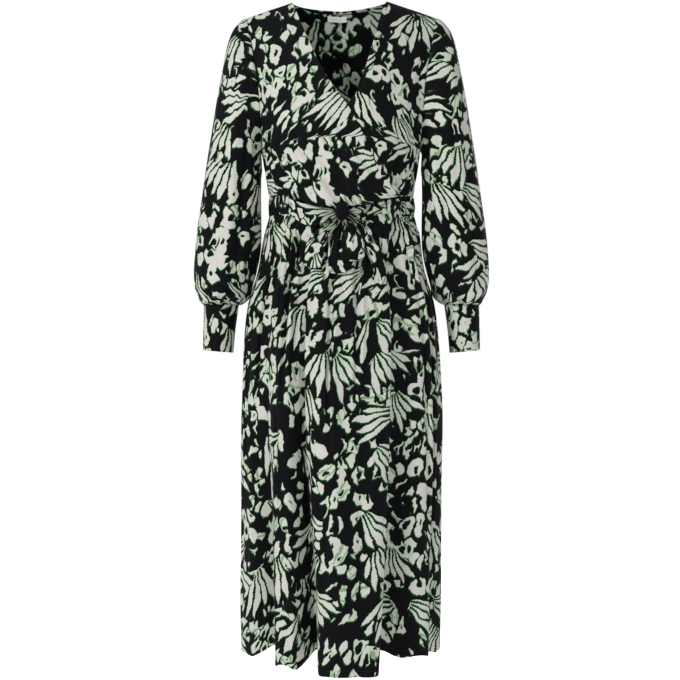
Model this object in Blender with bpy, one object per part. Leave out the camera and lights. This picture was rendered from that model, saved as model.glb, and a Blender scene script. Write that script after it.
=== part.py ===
"""Wrap dress worn hollow: crossed bodice, bishop sleeves on deep cuffs, elastic waist, wrap skirt.

Frame: +Z up, the front faces -Y, the wearer's right is at -X. The origin lies on the
centre line at shoulder level, where the wearer's shoulders hold the dress. Sizes below
are in millimetres and become metres when a mesh is made.
"""

import math

import bmesh
import bpy
import numpy as np

MM = 0.001

# Cloth and seams.
CLOTH = 1.2
CASING = 2.0
SEAM_GAP = 0.4
FRONT, BACK = -1, 1
RIGHT, LEFT = -1, 1

# Heights.
WAIST_TOP_Z = -341.0
WAIST_LOW_Z = -376.0
HEM_Z = -1171.0
SHOULDER_TIP_X, SHOULDER_TIP_Z = 174.5, -9.0
NECK_POINT_X = {RIGHT: 91.0, LEFT: 84.0}
NECK_BACK_Z = 16.5

# The shoulder line, from the centre out: distance from the centre line, height.
SHOULDER_LINE = (
    (0, 42),
    (60, 29),
    (88, 20.5),
    (110, 13),
    (132, 6),
    (150, 0),
    (SHOULDER_TIP_X, SHOULDER_TIP_Z),
)

# The bodice: share of the way from waist to shoulder, half width, front depth, back depth.
BODICE_FORM = (
    (0.00, 131, 92, 85),
    (0.13, 138, 106, 89),
    (0.25, 145, 117, 94),
    (0.36, 153, 118, 97),
    (0.45, 164, 114, 100),
    (0.58, 177, 101, 101),
    (0.72, 187, 86, 96),
    (0.84, 192, 74, 87),
    (1.00, 195, 62, 76),
)
SHOULDER_ROUNDING = 0.31
SIDE_ROUNDNESS = 0.92
BUST_OUT, BUST_X, BUST_WIDE, BUST_SHARE, BUST_TALL = 7.0, 72.0, 42.0, 0.36, 0.17

# The armhole seam: share of the height, distance from the centre line.
ARMPIT_SHARE = 0.25
ARMHOLE = (
    (ARMPIT_SHARE, 145),
    (0.35, 146),
    (0.453, 148),
    (0.577, 151),
    (0.72, 158),
    (0.836, 165),
    (0.94, 171.5),
    (1.0, SHOULDER_TIP_X),
)
ARMHOLE_POINTS = 24

# The two wrap edges: share of the height, position across.
WRAP_OVER = (
    (0.0, 104.5),
    (0.079, 92),
    (0.15, 68),
    (0.234, 44),
    (0.316, 28),
    (0.39, 12),
    (0.452, -5),
    (0.594, -35),
    (0.828, -70),
    (1.0, -91),
)
WRAP_UNDER = (
    (0.0, -104),
    (0.079, -86),
    (0.15, -62),
    (0.234, -37),
    (0.316, -14),
    (0.38, 4),
    (0.438, 20),
    (0.541, 36.5),
    (0.663, 49.5),
    (0.766, 60),
    (0.918, 74),
    (1.0, 84),
)
WRAP_LIFT = 3.0
LIFT_RUN = math.radians(13)
LIFT_FADE = 0.2
NECK_CURVE = {RIGHT: 4.0, LEFT: 1.4}
FRONT_COLUMNS, BACK_COLUMNS, SIDE_ROWS = 12, 22, 4

# Gathers of the bodice front: height of the ridge at the waist, waves over the whole round.
BODICE_GATHER, BODICE_WAVES, GATHER_SHARE = 1.6, 8, 0.2

# The skirt: height, half width, front depth, back depth.
SKIRT_FORM = (
    (WAIST_LOW_Z - SEAM_GAP, 132, 93, 86),
    (-428, 144, 104, 104),
    (-478, 152.5, 113, 120),
    (-535, 169, 123, 133),
    (-610, 178.5, 133, 142),
    (-715, 182.5, 144, 148),
    (-900, 181.5, 156, 156),
    (-1177, 178, 166, 165),
)
SKIRT_ROWS = (0, 0.03, 0.07, 0.13, 0.2, 0.29, 0.39, 0.5, 0.61, 0.72, 0.82, 0.92, 1)
SIDE_DEGREES = 90
OVER_COLUMNS, UNDER_COLUMNS, BACK_SKIRT_COLUMNS = 42, 36, 60
SKIRT_WAVES, SKIRT_GATHER, SKIRT_GATHER_RUN = 30, 1.6, 0.16
HIP_ROW = 0.2
HEM_DIP = 13.0

# Folds of the skirt: angle at the hem, angle at the waist, half width, height at the hem,
# height at the hip (minus is a valley), how far the hem is lifted there. Angle 0 is the
# middle of the front and 90 the wearer's left side.
FOLDS_OVER = (
    (-77, -80, 11, 8, 3, 2),
    (-53, -53, 14, -44, -7, 30),
    (-33, -38, 11, 9, 4, 12),
    (-19.5, -28, 8, -50, -9, 32),
    (0, -8, 18, 14, 2, 2),
    (17, 26, 11, 8, 3, -2),
)
FOLDS_UNDER = (
    (5, 0, 60, -52, -9, 24),
    (-18, -24, 26, -34, -7, 0),
    (52, 55, 12, 12, 4, 6),
    (33, 41, 13, -12, -4, 12),
    (66, 68, 10, -20, -5, 10),
    (79, 80, 8, 6, 3, -2),
)
FOLDS_BACK = (
    (102, 100, 10, 8, 3, 0),
    (117, 114, 9, -24, -5, 8),
    (133, 130, 11, 16, 5, -2),
    (148, 147, 9, -30, -6, 9),
    (164, 165, 12, 14, 4, -3),
    (181, 182, 9, -26, -6, 8),
    (197, 198, 12, 18, 5, -3),
    (214, 213, 9, -28, -6, 9),
    (229, 230, 11, 15, 4, -2),
    (245, 247, 9, -22, -5, 7),
    (259, 260, 9, 7, 3, 0),
)
# The free edge of the upper skirt front and the hidden edge of the lower one.
OVER_EDGE = ((0, 42), (0.1, 33), (0.3, 29), (0.6, 26), (0.9, 22), (1, 20.5))
UNDER_EDGE = ((0, -24), (1, -22))
UNDER_SET_BACK, SET_BACK_FROM, SET_BACK_RUN = 3.2, math.radians(44), math.radians(12)

# The waistband casing.
BAND_GATHERS, BAND_GATHER = 60, 1.4

# The sleeve, ring by ring: outer point across and up, inner point across and up, half depth.
SLEEVE_RINGS = (
    (SHOULDER_TIP_X, SHOULDER_TIP_Z, 145, -255, 54),
    (182, -12.5, 146.4, -256.4, 57),
    (192, -22, 147.2, -258, 59),
    (203, -38, 147.7, -260, 61),
    (213, -66, 148.1, -263.5, 62),
    (221, -108, 148.4, -269, 63),
    (230.5, -160, 148.5, -279, 63),
    (240, -220, 148.5, -296, 63),
    (249, -275, 148.5, -320, 63),
    (257, -335, 148.5, -353, 64),
    (265, -395, 149, -398, 66),
    (269.5, -440, 151, -440, 68),
    (272.5, -480, 157.5, -478, 67),
    (270.5, -508, 165, -506, 62),
    (264, -526, 172, -527, 50),
    (254.4, -538.3, 190, -538.3, 33),
)
SLEEVE_BLEND_RINGS = 5
SLEEVE_SEAM = 0.8
SLEEVE_GATHERS, SLEEVE_GATHER = 6, 2.6
# How strong the gathers are on each of the last rings.
SLEEVE_GATHER_SHARES = ((0.6, 0), (0.74, 0.2), (0.8, 0.6), (0.87, 1), (0.94, 0.9), (1, 0.3))
# Long folds of the sleeve: turn from the top round the front, half width, height, and
# the shares of the length where each starts and ends.
SLEEVE_FOLDS = (
    (62, 30, -3.5, 0.3, 0.9),
    (118, 26, -4.5, 0.4, 0.97),
    (165, 24, 2.5, 0.5, 0.95),
    (232, 30, -4.5, 0.35, 0.95),
    (300, 30, -3.5, 0.3, 0.9),
)

# The cuff, top and bottom: outer across and up, inner across and up, half depth.
CUFF_RINGS = (
    (254.4, -538.7, 190.0, -538.7, 33),
    (255.4, -582, 196, -584, 32),
    (256, -622, 200, -627, 31),
)

# The ties: position across, upper edge, lower edge, distance in front of the waist.
TIE_RIGHT = (
    (-95, -344, -374, 3.0),
    (-78, -352, -390, 5.5),
    (-58, -362, -400, 8.5),
    (-36, -367, -397, 11.0),
    (-13.5, -371, -388, 12.5),
)
TIE_LEFT = (
    (98, -346, -382, 3.0),
    (92, -349, -392, 5.0),
    (70, -356, -396, 8.0),
    (44, -362, -392, 11.0),
    (15.5, -368, -385, 12.5),
)
TIE_COLUMNS, TIE_ROWS, TIE_CREASES, TIE_CREASE = 10, 4, 2, 1.0
# The front depth that the ties lie against, by height.
TIE_BED = ((-330, 97), (-345, 94.5), (-376, 94.5), (-400, 100), (-430, 107))
KNOT_MIDDLE = (1.0, -115.5, -377.5)
KNOT_HALF = (13.2, 9.5, 14.5)
KNOT_SQUARE = 0.8
KNOT_SEGMENTS, KNOT_RINGS = 16, 10

# Loops and tails: height, left edge, right edge, distance in front of the skirt.
LOOP_RIGHT = (
    (-392.6, -11, 0, 14),
    (-400, -24, -6, 13),
    (-412, -46, -17, 13),
    (-430, -60, -26, 13),
    (-452, -65, -32, 11.5),
    (-474, -68, -36, 9),
)
LOOP_LEFT = (
    (-392.6, 4, 13, 15.5),
    (-402, 7, 24, 15.5),
    (-416, 6, 33, 15.5),
    (-434, 3, 38, 15),
    (-452, 0, 40, 13.5),
    (-462, -2, 40, 11.5),
)
LOOP_GAP, LOOP_BOW, LOOP_ROWS = 2.6, 1.0, 7
# Degrees of the turn at the bottom of a loop, from its front wall to its back wall.
LOOP_TURN = (36, 72, 108, 144)
TAIL_ROWS, TAIL_COLUMNS, TAIL_BEND = 6, 4, 1.0
TAIL_RIGHT = (
    (-391, -7, 9, 8),
    (-402, -13, 10, 5.5),
    (-420, -18, 11, 3.5),
    (-450, -24, 12, 3.5),
    (-486, -22, 18, 3.5),
)
TAIL_LEFT = (
    (-389, 16.5, 27, 8.5),
    (-400, 24, 44, 7.5),
    (-425, 34, 61, 6.5),
    (-450, 43.5, 72, 6),
    (-478, 51, 80, 5.5),
    (-504, 53, 81, 5),
)

# The neck label: left, right, height under the neck edge, length, thickness.
LABEL_LEFT, LABEL_RIGHT, LABEL_DROP, LABEL_TALL, LABEL_THICK = -27.5, 10.5, 10.0, 9.5, 0.8
LABEL_CLEAR, LABEL_COLUMNS, LABEL_ROWS = 0.9, 4, 2

CLOTH_COLOUR = (0.035, 0.035, 0.042)
BELT_COLOUR = (0.06, 0.062, 0.066)
CUFF_COLOUR = (0.045, 0.047, 0.052)
LABEL_COLOUR = (0.83, 0.83, 0.81)


def column(table, place):
    """A smooth curve through the rows of a table, read at one or many places."""
    rows = np.asarray(sorted(table), float)
    at, values = rows[:, 0], rows[:, 1:]
    slope = np.gradient(values, at, axis=0)
    place = np.clip(np.asarray(place, float), at[0], at[-1])
    first = np.clip(np.searchsorted(at, place, side="right") - 1, 0, len(at) - 2)
    span = at[first + 1] - at[first]
    t = ((place - at[first]) / span)[..., None]
    span = span[..., None]
    return (
        values[first] * (2 * t**3 - 3 * t**2 + 1)
        + values[first + 1] * (3 * t**2 - 2 * t**3)
        + slope[first] * span * (t**3 - 2 * t**2 + t)
        + slope[first + 1] * span * (t**3 - t**2)
    )


def eased(value):
    value = np.clip(value, 0, 1)
    return value * value * (3 - 2 * value)


def bump(distance, half_width):
    """One rounded ridge, 1 in the middle and 0 at the half width."""
    share = np.clip(np.abs(distance) / half_width, 0, 1)
    return np.cos(share * math.pi / 2) ** 2


def material(name, colour, roughness):
    made = bpy.data.materials.new(name)
    made.use_nodes = True
    shader = made.node_tree.nodes["Principled BSDF"]
    shader.inputs["Base Color"].default_value = (*colour, 1)
    shader.inputs["Roughness"].default_value = roughness
    shader.inputs["Metallic"].default_value = 0
    return made


def add_object(name, points, faces, colour, roughness=0.8):
    mesh = bpy.data.meshes.new(name)
    mesh.from_pydata((np.asarray(points) * MM).tolist(), [], faces)
    work = bmesh.new()
    work.from_mesh(mesh)
    bmesh.ops.recalc_face_normals(work, faces=work.faces)
    work.to_mesh(mesh)
    work.free()
    mesh.polygons.foreach_set("use_smooth", [True] * len(mesh.polygons))
    mesh.materials.append(material(name, colour, roughness))
    made = bpy.data.objects.new(name, mesh)
    bpy.context.scene.collection.objects.link(made)
    return made


def normals_of(grid, tube, inside, seams):
    """Unit normals of a grid of points, away from `inside`. Each of `seams` names the rows,
    the columns and the direction in which the wall must not lean there."""
    down = np.gradient(grid, axis=0)
    if tube:
        across = np.roll(grid, -1, axis=1) - np.roll(grid, 1, axis=1)
    else:
        across = np.gradient(grid, axis=1)
    normal = np.cross(across, down)
    if np.sum(normal * (grid - inside)) < 0:
        normal = -normal
    for rows, columns, direction in seams:
        normal[rows, columns, direction] = 0
    return normal / np.linalg.norm(normal, axis=2, keepdims=True)


def cloth(name, grid, inside, colour=CLOTH_COLOUR, thick=CLOTH, tube=False, seams=()):
    """A wall of cloth behind a grid of points: rows run down it and columns across it."""
    normal = normals_of(grid, tube, inside, seams)
    rows, columns = grid.shape[:2]
    points = np.concatenate([grid.reshape(-1, 3), (grid - normal * thick).reshape(-1, 3)])
    behind = rows * columns
    faces = []
    for r in range(rows - 1):
        for c in range(columns if tube else columns - 1):
            n = (c + 1) % columns
            here, below = r * columns, (r + 1) * columns
            quad = [here + c, here + n, below + n, below + c]
            faces.append(quad)
            faces.append([corner + behind for corner in reversed(quad)])
    if tube:
        rims = [[r * columns + c for c in range(columns)] for r in (0, rows - 1)]
    else:
        top = list(range(columns))
        last = [r * columns + columns - 1 for r in range(1, rows)]
        low = [(rows - 1) * columns + c for c in reversed(range(columns - 1))]
        first = [r * columns for r in reversed(range(1, rows - 1))]
        rims = [top + last + low + first]
    for rim in rims:
        for a, b in zip(rim, rim[1:] + rim[:1]):
            faces.append([b, a, a + behind, b + behind])
    return add_object(name, points, faces, colour)


def on_axis(grid):
    """The points of the centre line level with those of a grid."""
    return grid * np.array([0, 0, 1])


def shoulder_z(x):
    return column(SHOULDER_LINE, np.abs(x))[..., 0]


def edge_angle(share):
    """Where the bodice ends at the side: at the side seam, and above it at the armhole."""
    half = column(BODICE_FORM, share)[..., 0]
    reach = column(ARMHOLE, share)[..., 0]
    ratio = np.where(share <= ARMPIT_SHARE, 1.0, reach / half)
    return np.arcsin(np.clip(ratio, -1, 1))


def bodice_points(angle, share, side, out=0.0):
    """Points of the bodice's outer face, `out` in front of it."""
    form = column(BODICE_FORM, share)
    half, deep = form[..., 0], form[..., 1 if side == FRONT else 2]
    down = np.clip((1 - share) / SHOULDER_ROUNDING, 0, 1)
    round_off = np.sqrt(1 - (1 - down) ** 2)
    facing = np.clip(np.cos(angle), 0, 1) ** SIDE_ROUNDNESS
    x = half * np.sin(angle)
    depth = deep * facing * round_off
    if side == FRONT:
        bust = np.exp(-(((np.abs(x) - BUST_X) / BUST_WIDE) ** 2))
        bust = bust * np.exp(-(((share - BUST_SHARE) / BUST_TALL) ** 2))
        depth = depth + BUST_OUT * bust * facing
    gather = BODICE_GATHER * (1 - eased(share / GATHER_SHARE)) * facing
    depth = depth + gather * np.cos(BODICE_WAVES * angle) + out * facing
    z = WAIST_TOP_Z + share * (shoulder_z(x) - WAIST_TOP_Z)
    x = x + out * np.sin(angle)
    return np.stack([x, side * (depth + SEAM_GAP / 2), z], axis=-1)


def bodice_shares():
    """Heights of the rows, from the shoulder down: round the armhole, then the side seam."""
    turn = np.arange(ARMHOLE_POINTS // 2 + 1) * 2 * math.pi / ARMHOLE_POINTS
    armhole = ARMPIT_SHARE + (1 - ARMPIT_SHARE) * (1 + np.cos(turn)) / 2
    side = np.linspace(ARMPIT_SHARE, 0, SIDE_ROWS + 1)[1:]
    return np.concatenate([armhole, side])


def below_armpit():
    return slice(ARMHOLE_POINTS // 2, None)


def make_bodice_front(name, hand, wrap, lift):
    share = bodice_shares()[:, None]
    half = column(BODICE_FORM, share)[..., 0]
    seam = hand * edge_angle(share)
    edge = np.arcsin(column(wrap, share)[..., 0] / half)
    angle = seam + (edge - seam) * np.linspace(0, 1, FRONT_COLUMNS + 1)[None, :]
    share = np.broadcast_to(share, angle.shape)
    lifted = lift * eased(np.abs(angle - seam) / LIFT_RUN) * eased((1 - share) / LIFT_FADE)
    grid = bodice_points(angle, share, FRONT, lifted)
    seams = [(0, slice(None), 1), (-1, slice(None), 2), (below_armpit(), 0, 1)]
    cloth(name, grid, on_axis(grid), seams=seams)


def back_points(across, drop, out=0.0):
    """Points of the back: `across` runs from -1 to 1 between the armholes, `drop` from the
    shoulder and neck edge at 1 to the waist at 0."""
    top_x = column(BODICE_FORM, 1.0)[0] * np.sin(across * edge_angle(np.array(1.0)))
    neck = np.where(top_x < 0, NECK_POINT_X[RIGHT], NECK_POINT_X[LEFT])
    inward = np.clip(np.abs(top_x) / neck, 0, 1)
    curve = np.where(top_x < 0, NECK_CURVE[RIGHT], NECK_CURVE[LEFT])
    edge_z = NECK_BACK_Z + (shoulder_z(neck) - NECK_BACK_Z) * inward**curve
    top = (edge_z - WAIST_TOP_Z) / (shoulder_z(top_x) - WAIST_TOP_Z)
    share = drop * np.where(np.abs(top_x) < neck, top, 1.0)
    return bodice_points(across * edge_angle(share), share, BACK, out)


def make_bodice_back():
    across = np.linspace(-1, 1, BACK_COLUMNS + 1)[None, :]
    drop = bodice_shares()[:, None]
    across, drop = np.broadcast_arrays(across, drop)
    grid = back_points(across, drop)
    shoulder = np.abs(grid[0, :, 0]) > NECK_POINT_X[LEFT]
    seams = [(0, shoulder, 1), (-1, slice(None), 2)]
    seams += [(below_armpit(), 0, 1), (below_armpit(), -1, 1)]
    cloth("bodice_back", grid, on_axis(grid), seams=seams)


def make_label():
    """The label hangs inside the back, from just under the neck edge."""
    half_round = edge_angle(np.array(1.0)) * column(BODICE_FORM, 1.0)[0]
    across = np.linspace(LABEL_LEFT, LABEL_RIGHT, LABEL_COLUMNS + 1)[None, :] / half_round
    tall = column(SHOULDER_LINE, 0.0)[0] - WAIST_TOP_Z
    below_edge = np.linspace(LABEL_DROP, LABEL_DROP + LABEL_TALL, LABEL_ROWS + 1)
    drop = 1 - below_edge[:, None] / tall
    across, drop = np.broadcast_arrays(across, drop)
    grid = back_points(across, drop, out=-CLOTH - LABEL_CLEAR)
    cloth("neck_label", grid, on_axis(grid), LABEL_COLOUR, LABEL_THICK)


def ellipse_ring(outer, inner, half_depth, turn):
    """A ring between its outer and inner points, as points (x, z) of the front plane."""
    middle, reach = (outer + inner) / 2, (outer - inner) / 2
    x = middle[0] + reach[0] * np.cos(turn)
    z = middle[1] + reach[1] * np.cos(turn)
    return np.stack([x, -half_depth * np.sin(turn), z], axis=-1)


def sleeve_grid():
    """The wearer's left sleeve: columns run from its top round the front."""
    turn = np.arange(ARMHOLE_POINTS) * 2 * math.pi / ARMHOLE_POINTS
    share = ARMPIT_SHARE + (1 - ARMPIT_SHARE) * (1 + np.cos(turn)) / 2
    front = bodice_points(edge_angle(share), share, FRONT)
    back = bodice_points(edge_angle(share), share, BACK)
    armhole = np.where((np.sin(turn) >= 0)[:, None], front, back)
    armhole[[0, ARMHOLE_POINTS // 2], 1] = 0
    armhole = armhole + np.array([SLEEVE_SEAM, 0, 0])
    rings, middles = [], []
    for ring, row in enumerate(SLEEVE_RINGS):
        outer, inner = np.array(row[0:2], float), np.array(row[2:4], float)
        points = ellipse_ring(outer, inner, row[4], turn)
        if ring == 0:
            head = armhole - points
        points = points + head * (1 - eased(ring / SLEEVE_BLEND_RINGS))
        middle = np.array([(outer[0] + inner[0]) / 2, 0, (outer[1] + inner[1]) / 2])
        along = ring / (len(SLEEVE_RINGS) - 1)
        swell = np.zeros_like(turn)
        for at, wide, high, start, end in SLEEVE_FOLDS:
            here = bump(along - (start + end) / 2, (end - start) / 2)
            swell += high * here * bump(np.degrees(turn) - at, wide)
        strength = SLEEVE_GATHER * column(SLEEVE_GATHER_SHARES, along)[0]
        swell += strength * np.cos(SLEEVE_GATHERS * turn)
        away = points - middle
        away /= np.linalg.norm(away, axis=1, keepdims=True)
        rings.append(points + away * swell[:, None])
        middles.append(np.broadcast_to(middle, points.shape))
    return np.array(rings), np.array(middles)


def mirrored(grid, hand):
    return grid * np.array([hand, 1, 1])


def make_sleeve(name, hand):
    grid, middles = sleeve_grid()
    seams = [(-1, slice(None), 2)]
    grid, middles = mirrored(grid, hand), mirrored(middles, hand)
    cloth(name, grid, middles, tube=True, seams=seams)


def make_cuff(name, hand):
    turn = np.arange(ARMHOLE_POINTS) * 2 * math.pi / ARMHOLE_POINTS
    rings, middles = [], []
    for row in CUFF_RINGS:
        outer, inner = np.array(row[0:2], float), np.array(row[2:4], float)
        points = ellipse_ring(outer, inner, row[4], turn)
        middle = np.array([(outer[0] + inner[0]) / 2, 0, (outer[1] + inner[1]) / 2])
        rings.append(points)
        middles.append(np.broadcast_to(middle, points.shape))
    grid, middles = mirrored(np.array(rings), hand), mirrored(np.array(middles), hand)
    cloth(name, grid, middles, CUFF_COLOUR, CASING, tube=True, seams=[(0, slice(None), 2)])


def make_waistband():
    """A casing drawn up on elastic: each gather is one sharp ridge."""
    turn = np.arange(2 * BAND_GATHERS) * math.pi / BAND_GATHERS
    _, half, front, back = SKIRT_FORM[0]
    depth = np.where(np.cos(turn) > 0, front, back)
    ridge = BAND_GATHER * (np.arange(2 * BAND_GATHERS) % 2)
    rings = []
    for height in (WAIST_TOP_Z - SEAM_GAP, WAIST_LOW_Z):
        x = (half + ridge) * np.sin(turn)
        y = -(depth + ridge) * np.cos(turn)
        rings.append(np.stack([x, y, np.full_like(x, height)], axis=-1))
    grid = np.array(rings)
    every = slice(None)
    cloth("waistband", grid, on_axis(grid), thick=CASING, tube=True, seams=[(every, every, 2)])


def fold_height(folds, angle, fall):
    """How far the folds of a skirt panel stand out, at an angle and a share of the fall."""
    degrees = np.degrees(angle)
    height = np.zeros(np.broadcast(angle, fall).shape)
    for hem_at, waist_at, wide, hem_high, hip_high, _ in folds:
        at = waist_at + (hem_at - waist_at) * fall
        above_hip = hip_high * eased(fall / HIP_ROW)
        grown = (hem_high - hip_high) * eased(np.clip((fall - HIP_ROW) / (1 - HIP_ROW), 0, 1))
        height = height + (above_hip + grown) * bump(degrees - at, wide)
    return height


def hem_z(folds, angle):
    """The hem: it dips at the front and is drawn up in the valleys."""
    height = HEM_Z - HEM_DIP * np.clip(np.cos(angle), 0, 1) ** 2
    for hem_at, _, wide, _, _, lift in folds:
        height = height + lift * bump(np.degrees(angle) - hem_at, wide)
    return height


def skirt_points(angle, fall, folds, set_back=0.0, height=None):
    """Points of the skirt's outer face. Angle 0 is the middle of the front."""
    top = SKIRT_FORM[0][0]
    z = top + fall * (hem_z(folds, angle) - top) if height is None else height
    form = column(SKIRT_FORM, z)
    half, depth = form[..., 0], np.where(np.cos(angle) > 0, form[..., 1], form[..., 2])
    gather = SKIRT_GATHER * (1 - eased(fall / SKIRT_GATHER_RUN)) * np.cos(SKIRT_WAVES * angle)
    out = fold_height(folds, angle, fall) + gather * np.abs(np.cos(angle)) - set_back
    away = np.stack([np.sin(angle) / half, -np.cos(angle) / depth], axis=-1)
    away /= np.linalg.norm(away, axis=-1, keepdims=True)
    x = half * np.sin(angle) + out * away[..., 0]
    y = -depth * np.cos(angle) + out * away[..., 1]
    y = y + np.sign(-np.cos(angle)) * SEAM_GAP / 2
    return np.stack([x, y, np.broadcast_to(z, x.shape)], axis=-1)


def make_skirt_front(name, edge, hand, folds, columns):
    fall = np.array(SKIRT_ROWS, float)[:, None]
    side = math.radians(SIDE_DEGREES) * hand
    free = np.radians(column(edge, fall)[..., 0])
    angle = side + (free - side) * np.linspace(0, 1, columns + 1)[None, :]
    fall = np.broadcast_to(fall, angle.shape)
    set_back = 0.0
    if hand == LEFT:
        set_back = UNDER_SET_BACK * (1 - eased((angle - SET_BACK_FROM) / SET_BACK_RUN))
    grid = skirt_points(angle, fall, folds, set_back)
    seams = [(0, slice(None), 2), (slice(None), 0, 1)]
    cloth(name, grid, on_axis(grid), seams=seams)


def make_skirt_back():
    fall = np.array(SKIRT_ROWS, float)[:, None]
    angle = np.radians(np.linspace(SIDE_DEGREES, 360 - SIDE_DEGREES, BACK_SKIRT_COLUMNS + 1))
    angle, fall = np.broadcast_arrays(angle[None, :], fall)
    grid = skirt_points(angle, fall, FOLDS_BACK)
    seams = [(0, slice(None), 2), (slice(None), 0, 1), (slice(None), -1, 1)]
    cloth("skirt_back", grid, on_axis(grid), seams=seams)


def in_front(grid):
    """Points behind those of a grid that faces forwards."""
    return grid + np.array([0, 1, 0])


def make_tie(name, table):
    """A strip sewn flat on the waistband at the side front, drawn together at the knot."""
    places = np.array([row[0] for row in table], float)
    share = np.linspace(0, 1, TIE_COLUMNS + 1)
    x = places[0] + (places[-1] - places[0]) * share
    upper, lower, out = np.moveaxis(column(table, x), -1, 0)
    tall = np.linspace(0, 1, TIE_ROWS + 1)[:, None]
    z = upper + (lower - upper) * tall
    x = np.broadcast_to(x, z.shape)
    depth = column(TIE_BED, z)[..., 0] * np.sqrt(1 - (x / SKIRT_FORM[0][1]) ** 2)
    crease = TIE_CREASE * share * np.cos(tall * 2 * math.pi * TIE_CREASES)
    grid = np.stack([x, -(depth + out + crease), z], axis=-1)
    cloth(name, grid, in_front(grid), BELT_COLOUR)


def make_knot():
    """The knot: a rounded pad of folded cloth, as a closed ball flattened front to back."""
    work = bmesh.new()
    bmesh.ops.create_uvsphere(
        work, u_segments=KNOT_SEGMENTS, v_segments=KNOT_RINGS, radius=1
    )
    points = [vertex.co.copy() for vertex in work.verts]
    faces = [[vertex.index for vertex in face.verts] for face in work.faces]
    work.free()
    shaped = []
    for point in points:
        size = [math.copysign(abs(value) ** KNOT_SQUARE, value) for value in point]
        shaped.append([m + s * h for m, s, h in zip(KNOT_MIDDLE, size, KNOT_HALF)])
    add_object("knot", shaped, faces, BELT_COLOUR)


def on_skirt(x, z, out):
    """Points a given distance in front of the upper skirt front."""
    half = column(SKIRT_FORM, z)[..., 0]
    fall = (SKIRT_FORM[0][0] - z) / (SKIRT_FORM[0][0] - HEM_Z)
    angle = np.arcsin(x / half)
    bed = skirt_points(angle, fall, FOLDS_OVER, height=z)
    return np.stack([x, bed[..., 1] - out, z], axis=-1)


def strip(table, rows, columns):
    """Places over a table of left and right edges: across, height and distance in front."""
    z = np.linspace(table[0][0], table[-1][0], rows + 1)[:, None]
    left, right, out = np.moveaxis(column(table, z), -1, 0)
    x = left + (right - left) * np.linspace(0, 1, columns + 1)[None, :]
    return x, np.broadcast_to(z, x.shape), np.broadcast_to(out, x.shape)


def make_tail(name, table):
    x, z, out = strip(table, TAIL_ROWS, TAIL_COLUMNS)
    across = np.linspace(-1, 1, TAIL_COLUMNS + 1)[None, :]
    grid = on_skirt(x, z, out + TAIL_BEND * across**2)
    cloth(name, grid, in_front(grid), BELT_COLOUR)


def make_loop(name, table):
    """A strip that runs down in front, folds at the bottom and comes back up behind."""
    x, z, out = strip(table, LOOP_ROWS, TAIL_COLUMNS)
    bow = LOOP_BOW * np.sin(math.pi * np.linspace(0, 1, LOOP_ROWS + 1))[:, None]
    front, back = on_skirt(x, z, out + bow), on_skirt(x, z, out - LOOP_GAP - 2 * CLOTH)
    half = (front[-1] - back[-1]) / 2
    middle = (front[-1] + back[-1]) / 2
    down = np.array([0, 0, -1]) * np.linalg.norm(half, axis=-1, keepdims=True)
    turn = [middle + half * math.cos(a) + down * math.sin(a) for a in np.radians(LOOP_TURN)]
    grid = np.concatenate([front, np.array(turn), back[::-1]])
    between = (front + back) / 2
    inside = np.concatenate([between, np.array([middle] * len(LOOP_TURN)), between[::-1]])
    cloth(name, grid, inside, BELT_COLOUR)


for old in list(bpy.data.objects):
    bpy.data.objects.remove(old, do_unlink=True)

make_bodice_front("bodice_front_over", RIGHT, WRAP_OVER, WRAP_LIFT)
make_bodice_front("bodice_front_under", LEFT, WRAP_UNDER, 0.0)
make_bodice_back()
make_label()
make_sleeve("sleeve_right", RIGHT)
make_sleeve("sleeve_left", LEFT)
make_cuff("cuff_right", RIGHT)
make_cuff("cuff_left", LEFT)
make_waistband()
make_skirt_front("skirt_front_over", OVER_EDGE, RIGHT, FOLDS_OVER, OVER_COLUMNS)
make_skirt_front("skirt_front_under", UNDER_EDGE, LEFT, FOLDS_UNDER, UNDER_COLUMNS)
make_skirt_back()
make_tie("tie_right", TIE_RIGHT)
make_tie("tie_left", TIE_LEFT)
make_knot()
make_loop("loop_right", LOOP_RIGHT)
make_loop("loop_left", LOOP_LEFT)
make_tail("tail_right", TAIL_RIGHT)
make_tail("tail_left", TAIL_LEFT)
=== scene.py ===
# %% [markdown]
# # A wrap dress, filled out as it is worn
# The dress hangs hollow from the shoulders: two crossed fronts and a back, bishop sleeves drawn
# into deep cuffs, a waistband shirred on elastic, a tie knotted in front and a gathered wrap
# skirt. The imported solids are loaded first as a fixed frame, because they give every piece its
# place. Each solid is then replaced by thin cloth that has the same form, with finer folds.
# %% Load the frame
import math

import bmesh
import bpy
import numpy as np
from mathutils import Matrix, Vector


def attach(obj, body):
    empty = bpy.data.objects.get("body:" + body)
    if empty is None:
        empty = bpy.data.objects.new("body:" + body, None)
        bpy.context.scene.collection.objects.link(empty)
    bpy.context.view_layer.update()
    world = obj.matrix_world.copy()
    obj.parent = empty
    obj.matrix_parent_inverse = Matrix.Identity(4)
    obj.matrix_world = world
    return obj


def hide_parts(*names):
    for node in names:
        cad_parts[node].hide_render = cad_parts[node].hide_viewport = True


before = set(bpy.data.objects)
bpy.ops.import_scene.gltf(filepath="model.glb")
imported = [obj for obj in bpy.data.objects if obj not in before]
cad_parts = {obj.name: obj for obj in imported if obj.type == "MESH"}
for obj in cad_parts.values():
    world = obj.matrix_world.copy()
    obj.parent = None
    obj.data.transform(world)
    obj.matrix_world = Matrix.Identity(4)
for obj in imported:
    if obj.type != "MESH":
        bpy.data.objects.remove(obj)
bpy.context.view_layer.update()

MM = 0.001

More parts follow.
